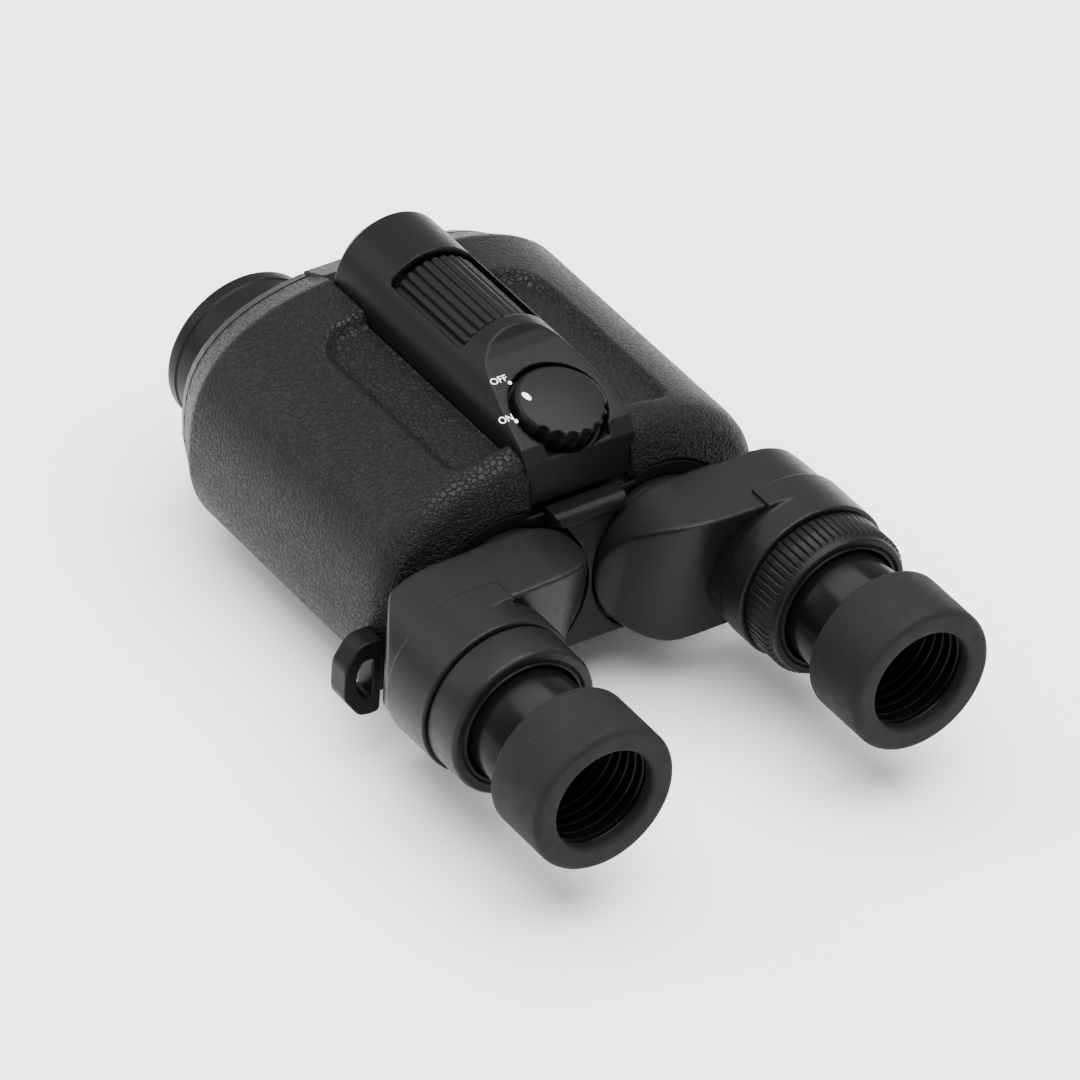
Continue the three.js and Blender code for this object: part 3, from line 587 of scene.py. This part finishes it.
def rear_plate():
    """The plate inside the arch that carries both pivots, with a wider liner behind the armour's lip."""
    bores = [("DIFFERENCE", rod(14.9, 60, 75, side * PIVOT_X)) for _, side in SIDES]
    plate = slab(stepped_stadium(ARCH - 0.4, 15.8), 65.5, 66.5, Y)
    settle(carve("rear_plate_skin", plate, bores, 0.3, 3), DARK, "body", "frame", "rear_plate")
    liner = slab(stepped_stadium(ARCH + 2.0, 19.0), 68.55, 69.2, Y)
    settle(carve("rear_plate_liner", liner, bores, 0), DARK, "body", "frame", "rear_plate", smooth=False)


def nose_liner():
    """The wall under the cover's front end, behind the front plate's notch."""
    outline = rounded([(-14.2, 14.5, 0.5), (14.2, 14.5, 0.5), (14.2, 23.0, 0.5), (-14.2, 23.0, 0.5)])
    objectives = [("DIFFERENCE", rod(17.5, 130, 150, side * PIVOT_X)) for _, side in SIDES]
    piece = carve("nose_liner", slab(outline, 143.4, 144.4, Y), objectives, 0)
    settle(piece, DARK, "body", "frame", smooth=False)


def upright_rod(x, y, radius, low, high):
    """A solid round bar with a vertical axis."""
    turn = Matrix.Translation((x, y, 0)) @ Matrix.Rotation(math.pi / 2, 4, "X")
    return moved(rod(radius, low, high, segments=48), turn)


def base_plate():
    """The plate under the body, which follows the slope of the rear end, with its four screws."""
    half, door_half = 15.7, 9.8
    front = high_mm("base_plate", Y)
    outline = [(68.8, underside(68.8)), (83.5, -29.98), (front, -29.98), (front, -27.5), (84.2, -27.5),
               (69.6, -18.8)]
    door_rear = low_mm("battery_door", Y) - 0.3
    steps = [("DIFFERENCE", box_points(-door_half, door_half, door_rear, 150, -40, -20))]
    screws = []
    for number in range(1, 5):
        x, y, _ = (middle(f"base_screw_{number}") - ZERO) / MM
        seat = underside(y) + 1.5
        steps.append(("DIFFERENCE", upright_rod(x, y, 2.6, -40, seat)))
        screws.append((f"base_screw_{number}", x, y, seat))
    piece = carve("base_plate_skin", slab(outline, -half, half, X), steps, 0.3, 4)
    settle(piece, COVER, "body", "cover", "base_plate")
    for node, x, y, seat in screws:
        slots = [("DIFFERENCE", box_points(x - a, x + a, y - b, y + b, -40, seat - 0.55))
                 for a, b in ((1.4, 0.3), (0.3, 1.4))]
        head = carve(f"{node}_head", upright_rod(x, y, 2.35, seat - 1.1, seat - 0.05), slots, 0.12, 3)
        settle(head, SCREW, "body", "screw_black", node)


def screw_hole():
    """The small hole in the armour's rear face beside the nameplate."""
    x, z = 17.3, 22.0
    profile = rounded([(1.1, 66.5, 0.1), (1.15, 66.2, 0.1), (1.5, 66.2, 0.15), (1.7, 66.45, 0.1),
                       (1.7, 67.0, 0.1), (1.1, 67.0, 0.1)])
    settle(turned("screw_hole_rim", profile, x, z, 48), COVER, "body", "cover")
    # The floor lies only a fraction of a millimetre behind the rim. Its darkest black is painted shade standing in
    # for the depth of the hole.
    floor = disc("screw_hole_shaded_floor", [(0, 66.34), (1.12, 66.34), (1.12, 66.9), (0, 66.9)], x, z, 32)
    settle(floor, INSIDE, "body", "cover")


# ------------------------------------------------------------------ top cover
COVER_HALF = high_mm("top_cover", X)
COVER_AXIS_Z = high_mm("top_cover", Z) - COVER_HALF
COVER_REAR = low_mm("top_cover", Y)
COVER_FRONT = high_mm("top_cover", Y)
DIAL_JOINT = next(j for j in frame["joints"] if j["name"] == "power_dial_turn")
DIAL_CENTRE = (Vector(DIAL_JOINT["pos_m"]) - ZERO) / MM
DIAL_AXIS = Vector(DIAL_JOINT["axis"]).normalized()
DIAL_RADIUS = 9.2
# The facet's side view, as (y, z) corners from rear to front.
FACET = np.array([(40.0, 17.0), (60.0, 26.1), (70.0, 30.75), (75.0, 33.0), (81.0, 35.35), (86.0, 37.0),
                  (88.5, 38.1), (90.8, 39.9), (92.4, 41.7), (94.0, 44.5)])


def facet_z(y):
    """The height of the dial's sloping facet, which curves up into the hump at its front."""
    return float(np.interp(y, FACET[:, 0], FACET[:, 1]))


def loft(stations):
    """A solid through outlines of equally many (x, z) points, given as (y, outline) from rear to front."""
    points = [(x, y, z) for y, outline in stations for x, z in outline[::-1]]
    return points, layered_faces(len(stations), len(stations[0][1]))


def hump(half_width, bottom, arc_radius=None, level=None):
    """The cover's outline: a half round over straight sides, or flat at a level ahead of the hump."""
    radius = arc_radius or half_width
    arc = [(radius * math.cos(t), COVER_AXIS_Z + radius * math.sin(t)) for t in np.linspace(0, math.pi, 73)]
    shoulder = COVER_AXIS_Z - 0.2
    if level is not None:
        arc = [(x, level) for x, _ in arc]
        shoulder = level
    left = [(-half_width, shoulder), (-half_width, bottom)]
    return [(half_width, shoulder)] + arc + left + [(half_width, bottom)]


def on_dial(solid):
    """Moves a solid drawn along Y so that its y = 0 lies on the dial's facet and +Y points out of it."""
    turn = Vector((0, 1, 0)).rotation_difference(DIAL_AXIS).to_matrix().to_4x4()
    return moved(solid, Matrix.Translation(DIAL_CENTRE) @ turn)


def top_cover():
    """The cover with its half-round hump, low nose, dial facet, roller window and nameplate wall."""
    above = [tuple(corner) for corner in FACET] + [(94.0, 60.0), (40.0, 60.0)]
    nose, front = 136.0, 140.0
    skirt = high_mm("top_cover", Z) - 21.8
    bottom = low_mm("top_cover", Z)
    base = loft([
        (COVER_REAR, hump(COVER_HALF, bottom)),
        (nose, hump(COVER_HALF, bottom)),
        (front, hump(COVER_HALF, bottom, 9.0)),
        (front + 0.05, hump(COVER_HALF, bottom, 9.0, COVER_AXIS_Z - 0.2)),
        (COVER_FRONT, hump(COVER_HALF, bottom, 9.0, 25.3)),
    ])
    window_low = low_mm("focus_roller", Y) - 1.0
    window_high = high_mm("focus_roller", Y) + 1.0
    window = rounded([(-9.8, window_low, 1.0), (9.8, window_low, 1.0), (9.8, window_high, 1.0),
                      (-9.8, window_high, 1.0)])
    rear_bevel = [(60.0, 19.6), (COVER_REAR, 27.4), (69.5, 30.9), (69.5, 60.0), (60.0, 60.0)]
    inner = COVER_HALF - 1.3
    steps = [
        ("DIFFERENCE", slab(above, -30, 30, X)),
        ("DIFFERENCE", slab(rear_bevel, -30, 30, X)),
        ("DIFFERENCE", slab(hump(inner, 5.0), 94.8, 134.5, Y)),
        ("DIFFERENCE", slab(window, 30.0, 60.0, Z)),
        ("DIFFERENCE", on_dial(rod(DIAL_RADIUS + 1.0, -4.4, 14.0))),
        ("DIFFERENCE", box_points(-7.4, 7.4, 60.0, 70.0, 27.9, 50.0)),
        ("DIFFERENCE", box_points(-20, 20, 68.6, 150, 10, skirt)),
        ("DIFFERENCE", box_points(-inner, inner, 130, 145.4, 10, 23.4)),
    ]
    piece = carve("top_cover_skin", base, steps, 0.28, 3)
    settle(piece, COVER, "body", "cover", "top_cover")


def dial_height(across, rearward):
    """The dial's top above the facet's plane: it rises towards the thumb grip and is slightly domed."""
    reach = min(1.0, math.hypot(across, rearward) / DIAL_RADIUS)
    return 1.8 + 2.4 * rearward / DIAL_RADIUS + 0.6 * (1 - reach ** 2)


def power_dial():
    """The dial's domed and sloping knob, with thumb scallops round its rear rim."""
    segments, rings = 160, 14
    corner, bottom = 0.9, -3.9
    flat = DIAL_RADIUS * 0.93
    points = []
    radii = [flat * (k + 1) / rings for k in range(rings)]
    for k in range(segments):
        angle = 2 * math.pi * k / segments
        c, s = math.cos(angle), math.sin(angle)
        edge = dial_height(DIAL_RADIUS * c, DIAL_RADIUS * s)
        points += [(r * c, dial_height(r * c, r * s), r * s) for r in radii]
        for t in (0.35, 0.7, 1.0):
            r = flat + (DIAL_RADIUS - flat) * math.sin(t * math.pi / 2)
            points.append((r * c, edge - corner * (1 - math.cos(t * math.pi / 2)), r * s))
        points += [(DIAL_RADIUS * c, bottom, DIAL_RADIUS * s), (0.5 * c, bottom, 0.5 * s)]
    count = rings + 5
    faces = grid_faces(segments, count, True, False)
    faces.append(tuple(k * count for k in range(segments))[::-1])
    faces.append(tuple(k * count + count - 1 for k in range(segments)))
    steps = []
    reach = DIAL_RADIUS + 0.25
    for turn in np.linspace(-0.98, 0.98, 7):
        scallop = rod(1.15, -6.0, 12, reach * math.sin(turn), reach * math.cos(turn), 32)
        steps.append(("DIFFERENCE", on_dial(scallop)))
    piece = carve("power_dial_knob", on_dial((points, faces)), steps, 0.15, 3)
    settle(piece, GRIP, "power_dial", "grip", "power_dial")


def focus_roller():
    """The roller with round ribs and narrow grooves between them."""
    ribs, groove = 32, 0.95
    radius = (high_mm("focus_roller", Z) - low_mm("focus_roller", Z)) / 2
    centre_z = (high_mm("focus_roller", Z) + low_mm("focus_roller", Z)) / 2
    start, end = low_mm("focus_roller", Y), high_mm("focus_roller", Y)
    profile = rounded([(3.2, start, 0), (radius, start, 0.5), (radius, end, 0.5), (3.2, end, 0)])

    def wave(angle, r, y):
        if r < radius - 2:
            return 0.0
        ridge = abs(math.cos(ribs * angle / 2)) ** 0.55
        return -groove * (1 - ridge)

    piece = turned("focus_roller_grip", profile, 0.0, centre_z, ribs * 20, wave)
    settle(piece, GRIP, "focus_roller", "grip", "focus_roller")


# ------------------------------------------------------------------ eyepieces
RING_BORE = 13.0


def eyecup(word, side):
    """The soft cup at the end of the sleeve."""
    radius = (high_mm("right_eyecup", X) - low_mm("right_eyecup", X)) / 2
    length = high_mm("right_eyecup", Y)
    opening, tube_radius = 11.1, 12.7
    profile = rounded([(opening, 0.05, 0.9), (radius, 0.0, 1.5), (radius + 0.02, length, 0.7),
                       (tube_radius, length, 0.2), (tube_radius, 2.7, 0.2), (opening, 2.7, 0.2)])
    piece = turned(f"{word}_eyecup_rubber", profile, side * EYE_X, 0.0, 160)
    settle(piece, EYECUP, f"{word}_eyecup", "eyecup_rubber", f"{word}_eyecup")


def eyecup_tube(word, side):
    """The bare tube behind the cup, with baffle threads inside its mouth."""
    outer, inner, groove = 12.4, 11.5, 11.8
    start, end = 2.9, 33.0
    pitch, threads = 2.5, 5
    corners = [(outer, start, 0), (outer, end, 0.3), (inner, end, 0)]
    for y in (15.5 - pitch * k for k in range(threads)):
        corners += [(inner, y, 0), (inner, y - 1.0, 0.05), (groove, y - 1.15, 0.05), (groove, y - 1.4, 0.05)]
    profile = rounded(corners + [(inner, start, 0)], steps=3)
    piece = turned(f"{word}_eyecup_sleeve", profile, side * EYE_X, 0.0, 128)
    settle(piece, TUBE, f"{word}_eyecup", "tube", f"{word}_eyecup_tube")


def ring_mouth(start):
    """The first corners of an eyepiece ring's profile: its bore, and a groove in its rear face."""
    return [(RING_BORE, start + 0.7, 0.2), (13.25, start + 0.1, 0.1), (13.6, start + 0.1, 0.1),
            (13.9, start + 0.6, 0.1), (14.4, start, 0.4)]


def left_ring():
    """The left eyepiece's plain ring, fixed to its arm."""
    start, end = low_mm("left_eyepiece_ring", Y), high_mm("left_eyepiece_ring", Y)
    radius = (high_mm("left_eyepiece_ring", Z) - low_mm("left_eyepiece_ring", Z)) / 2
    outside = [(radius - 0.1, start, 1.5), (radius, end, 0.4), (RING_BORE, end, 0)]
    profile = rounded(ring_mouth(start) + outside)
    piece = turned("left_eyepiece_collar", profile, -EYE_X, 0.0, 160)
    settle(piece, ARM, "left_arm", "arm", "left_eyepiece_ring")


def diopter_ring():
    """The right eyepiece's ring, with grip flutes ahead of a plain rim."""
    start, end = low_mm("diopter_ring", Y), high_mm("diopter_ring", Y)
    radius = (high_mm("diopter_ring", Z) - low_mm("diopter_ring", Z)) / 2
    flutes = 64
    rim = start + 1.7
    outside = [(radius - 0.9, start, 0.8), (radius - 0.85, rim, 0), (radius, rim + 0.25, 0),
               (radius, end - 0.5, 0), (radius - 0.4, end, 0), (RING_BORE, end, 0)]
    profile = rounded(ring_mouth(start) + outside)

    def wave(angle, r, y):
        if r < radius - 0.6 or y < rim:
            return 0.0
        groove = abs(math.sin(flutes * angle / 2))
        return -0.62 * float(ease(1 - groove / 0.55))

    piece = turned("diopter_ring_grip", profile, EYE_X, 0.0, flutes * 14, wave)
    settle(piece, GRIP, "diopter_ring", "grip", "diopter_ring")


# ------------------------------------------------------------------ arms
PIVOT_END = 17.2
BOSS = 17.4
GAP = 0.35
ARM_FRONT = low_mm("rear_plate", Y) - 0.4


def stadium(side, inner, outer):
    """An arm's outline from behind, with one radius round the pivot and another round the eyepiece."""
    points = [(side * (PIVOT_X + inner * math.cos(t)), inner * math.sin(t))
              for t in np.linspace(math.pi / 2, 3 * math.pi / 2, 48)]
    points += [(side * (EYE_X + outer * math.cos(t)), outer * math.sin(t))
               for t in np.linspace(-math.pi / 2, math.pi / 2, 48)]
    return points


def smooth_path(points):
    """A Catmull-Rom curve through the points."""
    steps = 12
    pts = [np.array(p, float) for p in points]
    pts = [2 * pts[0] - pts[1]] + pts + [2 * pts[-1] - pts[-2]]
    path = []
    for a, b, c, d in zip(pts, pts[1:], pts[2:], pts[3:]):
        for t in np.arange(steps) / steps:
            path.append(0.5 * (2 * b + (c - a) * t + (2 * a - 5 * b + 4 * c - d) * t * t
                               + (3 * b - a - 3 * c + d) * t ** 3))
    path.append(pts[-2])
    return path


def upright(levels):
    """A solid through outlines of equally many (x, y) points, given as (outline, z) from low to high."""
    points = [(x, y, z) for outline, z in levels for x, y in outline]
    return points, layered_faces(len(levels), len(levels[0][0]))


def arm_plan(side, lean):
    """The arm seen from above: rounded towards the pivot and tapered beside the boss.

    lean moves its rear face forwards."""
    rear = smooth_path([(0.2, 61.4), (1.6, 58.4), (3.9, 55.4), (6.4, 52.4), (9.0, 49.6), (12.0, 47.2),
                        (15.5, 45.6), (20.0, 45.0), (28.0, 44.9)])
    outer = [(57.0, 45.0), (57.0, 48.4), (55.0, 50.4), (48.4, 60.6), (47.4, ARM_FRONT)]
    leaning = [(x, min(y + lean, ARM_FRONT - 0.3)) for x, y in rear]
    return [(side * x, y) for x, y in leaning + outer + [(0.2, ARM_FRONT)]]


def arm(word, side):
    """An arm in three pieces: its block, the boss round the eyepiece, and the turret in the pivot."""
    body, node, eye = f"{word}_arm", f"{word}_arm_housing", side * EYE_X
    boss_rear = low_mm("right_arm_housing", Y)
    boss = high_mm("right_arm_housing", Z) + 0.05
    sloping = [(arm_plan(side, 0.22 * (17.0 - z)), z) for z in (-19.0, 18.0)]
    block = carve(f"{word}_arm_block", slab(stadium(side, PIVOT_END - 0.1, boss - 0.9), 40.0, ARM_FRONT, Y), [
        ("INTERSECT", upright(sloping)),
        ("DIFFERENCE", rod(12.2, 30.0, 51.8, eye)),
    ], 0.3, 24)
    settle(block, ARM, body, "arm", node)
    ring = carve(f"{word}_arm_boss", rod(boss, boss_rear, 44.3, eye), [
        ("UNION", rod(boss - 0.3, 44.0, 49.0, eye)),
        ("UNION", boss_collar(side, boss)),
        ("DIFFERENCE", rod(15.9, 30.0, 45.4, eye)),
        ("DIFFERENCE", rod(11.4, 40.0, 51.0, eye)),
    ], 0.26, 3)
    settle(ring, ARM, body, "arm", node)
    profile = [(0, 60.5), (14.6, 60.5), (14.6, 67.2), (14.2, 67.6), (0, 67.6)]
    settle(disc(f"{word}_arm_turret", profile, side * PIVOT_X), ARM, body, "arm", node)


def boss_collar(side, radius):
    """The boss's longer outer part, which ends in a step beside the arm's flat top."""
    inner_end = 30.2
    turns = [math.pi * (k / 96 - 0.5) for k in range(97)]
    outline = [(side * (EYE_X + radius * math.cos(t)), radius * math.sin(t)) for t in turns]
    outline += [(side * inner_end, radius), (side * inner_end, -radius)]
    return slab(outline, 44.0, 50.4, Y)


def rear_bracket():
    """The web between the arms, cut free of their swing, with a rounded bar along its top."""
    bar_half, web_half = 8.5, PIVOT_X - 5.0
    limit = math.radians(55)
    web = rounded([(62.9, 14.5, 0.3), (61.9, 14.5, 0.3), (61.2, 9.8, 2.0), (60.4, 0.0, 2.0),
                   (60.2, -16.0, 1.0), (62.9, -16.0, 0.4)])
    bar = rounded([(66.3, 17.1, 0.5), (62.6, 17.1, 1.0), (61.3, 16.3, 1.2), (61.0, 14.0, 1.1),
                   (62.4, 13.0, 0.8), (66.3, 13.4, 0.5)])
    plan = rounded([(-bar_half, 70.0, 0), (-bar_half, 61.0, 1.7), (bar_half, 61.0, 1.7), (bar_half, 70.0, 0)])
    web_cuts = []
    bar_cuts = [("INTERSECT", slab(plan, 10.0, 20.0, Z))]
    for _, side in SIDES:
        pivot = side * PIVOT_X
        turn = Matrix.Translation((pivot, 0, 0)) @ Matrix.Rotation(-side * limit, 4, "Y")
        turn = turn @ Matrix.Translation((-pivot, 0, 0))
        reach = slab(stadium(side, PIVOT_END + GAP, BOSS + GAP), 50, 62.2, Y)
        web_cuts.append(("DIFFERENCE", rod(PIVOT_END + GAP, 50, 70.0, pivot)))
        web_cuts.append(("DIFFERENCE", moved(reach, turn)))
        bar_cuts.append(("DIFFERENCE", rod(PIVOT_END + GAP, 50, 62.2, pivot)))
    for name, solid, cuts in (("rear_bracket_web", slab(web, -web_half, web_half, X), web_cuts),
                              ("rear_bracket_bar", slab(bar, -bar_half, bar_half, X), bar_cuts)):
        settle(carve(name, solid, cuts, 0.2, 8), COVER, "body", "cover", "rear_bracket")


# ------------------------------------------------------------------ objectives
def objective_barrel(word, side):
    """The flared tube round an objective, from its neck inside the body to its rim."""
    radius, neck, bore = 17.6, 16.0, 15.2
    profile = rounded([(bore, 136.0, 0), (neck, 136.0, 0), (neck, 147.3, 0), (radius - 0.3, 147.3, 0.4),
                       (radius - 0.3, 157.6, 0.3), (radius, 158.0, 0.3), (radius, LENGTH - 0.1, 1.0),
                       (15.7, LENGTH, 0.5), (bore, 158.4, 0.2)])
    piece = turned(f"{word}_objective_tube", profile, side * PIVOT_X, 0.0, 160)
    settle(piece, BARREL, "body", "barrel", f"{word}_objective_barrel")


def strap_lug(word, side):
    """The loop for a strap at the body's rear corner, with its foot in the shell."""
    outer = rounded([(44.6, -2.4, 0.8), (50.0, -2.4, 3.6), (53.2, -7.4, 3.0), (53.2, -14.6, 3.6),
                     (49.2, -20.2, 3.4), (44.6, -20.2, 0.8)])
    eye = rounded([(46.7, -6.6, 0.9), (49.2, -6.6, 1.5), (50.3, -9.2, 1.5), (50.3, -13.2, 1.8),
                   (48.4, -16.0, 1.4), (46.7, -16.0, 0.9)])
    loop = slab([(side * x, z) for x, z in outer], 66.8, 72.0, Y)
    steps = [("DIFFERENCE", slab([(side * x, z) for x, z in eye], 60, 80, Y)),
             ("UNION", box_points(*sorted((side * 42.8, side * 46.2)), 67.6, 73.5, -16, -7))]
    piece = carve(f"{word}_lug_loop", loop, steps, 0.2, 18)
    settle(piece, COVER, "body", "cover", f"{word}_strap_lug")


# ------------------------------------------------------------------ painted marks
def oval(radius, stretch, turn):
    """An oval's outline round (0, 0), turned by an angle."""
    points = []
    for k in range(32):
        t = 2 * math.pi * k / 32
        a, b = radius * math.cos(t), radius * stretch * math.sin(t)
        points.append((a * math.cos(turn) - b * math.sin(turn), a * math.sin(turn) + b * math.cos(turn)))
    return points


def painted(name, rim, top):
    """A thin painted patch. rim holds its outline, and top lifts a point of it onto the surface."""
    count = len(rim)
    points = [top(a, b, 0.035) for a, b in rim] + [top(a, b, -0.08) for a, b in rim]
    faces = [tuple(range(count)), tuple(range(count, 2 * count))[::-1]]
    faces += [(i, i + count, (i + 1) % count + count, (i + 1) % count) for i in range(count)]
    return new_object(name, points, faces)


def on_facet(a, b, lift):
    return a, b, facet_z(b) + lift


def on_dial_top(a, b, lift):
    across = Vector((1, 0, 0))
    uphill = DIAL_AXIS.cross(across)
    return tuple(DIAL_CENTRE + across * a + uphill * b + DIAL_AXIS * (dial_height(a, -b) + lift))


def lettering(name, word, x, y, size):
    """A word laid on the facet, with its middle at (x, y)."""
    curve = bpy.data.curves.new(name, "FONT")
    curve.body = word
    curve.align_x = "CENTER"
    curve.align_y = "CENTER"
    curve.size = size
    curve.extrude = 0.04
    label = bpy.data.objects.new(name + "_outline", curve)
    bpy.context.scene.collection.objects.link(label)
    bpy.context.view_layer.update()
    mesh = bpy.data.meshes.new_from_object(label.evaluated_get(bpy.context.evaluated_depsgraph_get()))
    bpy.data.objects.remove(label)
    facet_slope = 0.42
    shortened = math.cos(math.atan(facet_slope))
    for vertex in mesh.vertices:
        across, up, out = vertex.co
        spot = on_facet(x + across, y + up * shortened, out)
        vertex.co = ZERO + Vector(spot) * MM
    piece = bpy.data.objects.new(name, mesh)
    bpy.context.scene.collection.objects.link(piece)
    return piece


def dial_marks():
    """The dial's OFF and ON with their dots, and the pointer on the dial."""
    settle(lettering("mark_off", "OFF", -8.5, 84.0, 2.2), MARKS, "body", "cover", smooth=False)
    settle(lettering("mark_on", "ON", -12.0, 75.8, 2.15), MARKS, "body", "cover", smooth=False)
    for name, x, y in (("dot_off", -6.7, 82.7), ("dot_on", -10.3, 74.8)):
        rim = [(x + a, y + b) for a, b in oval(0.4, 1.0, 0.0)]
        settle(painted(name, rim, on_facet), MARKS, "body", "cover", smooth=False)
    rim = [(a - 6.2, b + 3.4) for a, b in oval(0.6, 2.0, 0.17)]
    settle(painted("dial_pointer", rim, on_dial_top), MARKS, "power_dial", "grip", smooth=False)


# ------------------------------------------------------------------ stage, light and camera
def stage():
    """The pale floor and the even light of the studio."""
    half = 3.0
    corners = [(-half, -half, 0), (half, -half, 0), (half, half, 0), (-half, half, 0)]
    mesh = bpy.data.meshes.new("floor")
    mesh.from_pydata(corners, [], [(0, 1, 2, 3)])
    floor = bpy.data.objects.new("floor", mesh)
    bpy.context.scene.collection.objects.link(floor)
    shader = Shader("floor_paper")
    paper = shader.mix(shader.noise(3.0, 2.0), grey(0.94), grey(0.95))
    mesh.materials.append(shader.finish(paper, 0.9))
    world = bpy.data.worlds.new("studio")
    world.use_nodes = True
    background = world.node_tree.nodes["Background"]
    background.inputs["Color"].default_value = (1, 1, 1, 1)
    background.inputs["Strength"].default_value = 1.1
    bpy.context.scene.world = world


def softbox(name, azimuth, elevation, distance, size, power):
    """A square area light aimed at the object."""
    a, e = math.radians(azimuth), math.radians(elevation)
    target = Vector((0, 0, 0.035))
    away = Vector((math.sin(a) * math.cos(e), -math.cos(a) * math.cos(e), math.sin(e)))
    light = bpy.data.lights.new(name, "AREA")
    light.shape = "RECTANGLE"
    light.size, light.size_y = size
    light.energy = power
    lamp = bpy.data.objects.new(name, light)
    lamp.location = target + away * distance
    lamp.rotation_euler = away.to_track_quat("Z", "Y").to_euler()
    bpy.context.scene.collection.objects.link(lamp)


def camera():
    """The photograph's view: behind, above and to the left, with a long lens and a slight roll."""
    azimuth, elevation, roll = math.radians(-36.34), math.radians(36.67), math.radians(4.01)
    right = Vector((math.cos(azimuth), math.sin(azimuth), 0))
    back = Vector((math.sin(azimuth) * math.cos(elevation), -math.cos(azimuth) * math.cos(elevation),
                   math.sin(elevation)))
    up = back.cross(right)
    tilted_right = right * math.cos(roll) + up * math.sin(roll)
    tilted_up = -right * math.sin(roll) + up * math.cos(roll)
    eye = ZERO + Vector((-946.7, -1208.7, 1187.3)) * MM
    data = bpy.data.cameras.new("photo_view")
    data.lens = 334.1
    data.sensor_width = 36.0
    holder = bpy.data.objects.new("photo_view", data)
    turn = Matrix((tilted_right, tilted_up, back)).transposed().to_4x4()
    holder.matrix_world = Matrix.Translation(eye) @ turn
    bpy.context.scene.collection.objects.link(holder)
    bpy.context.scene.camera = holder


camera()
stage()
softbox("overhead", 0, 86, 1.2, (1.5, 1.5), 64)
softbox("rim", -138, 30, 1.1, (0.6, 0.6), 4)

paint_cad_nodes()
for word, side in SIDES:
    armour(word, side)
    eyecup(word, side)
    eyecup_tube(word, side)
    arm(word, side)
    objective_barrel(word, side)
    strap_lug(word, side)
chassis()
base_plate()
nose_liner()
rear_plate()
screw_hole()
top_cover()
power_dial()
focus_roller()
left_ring()
diopter_ring()
rear_bracket()
dial_marks()
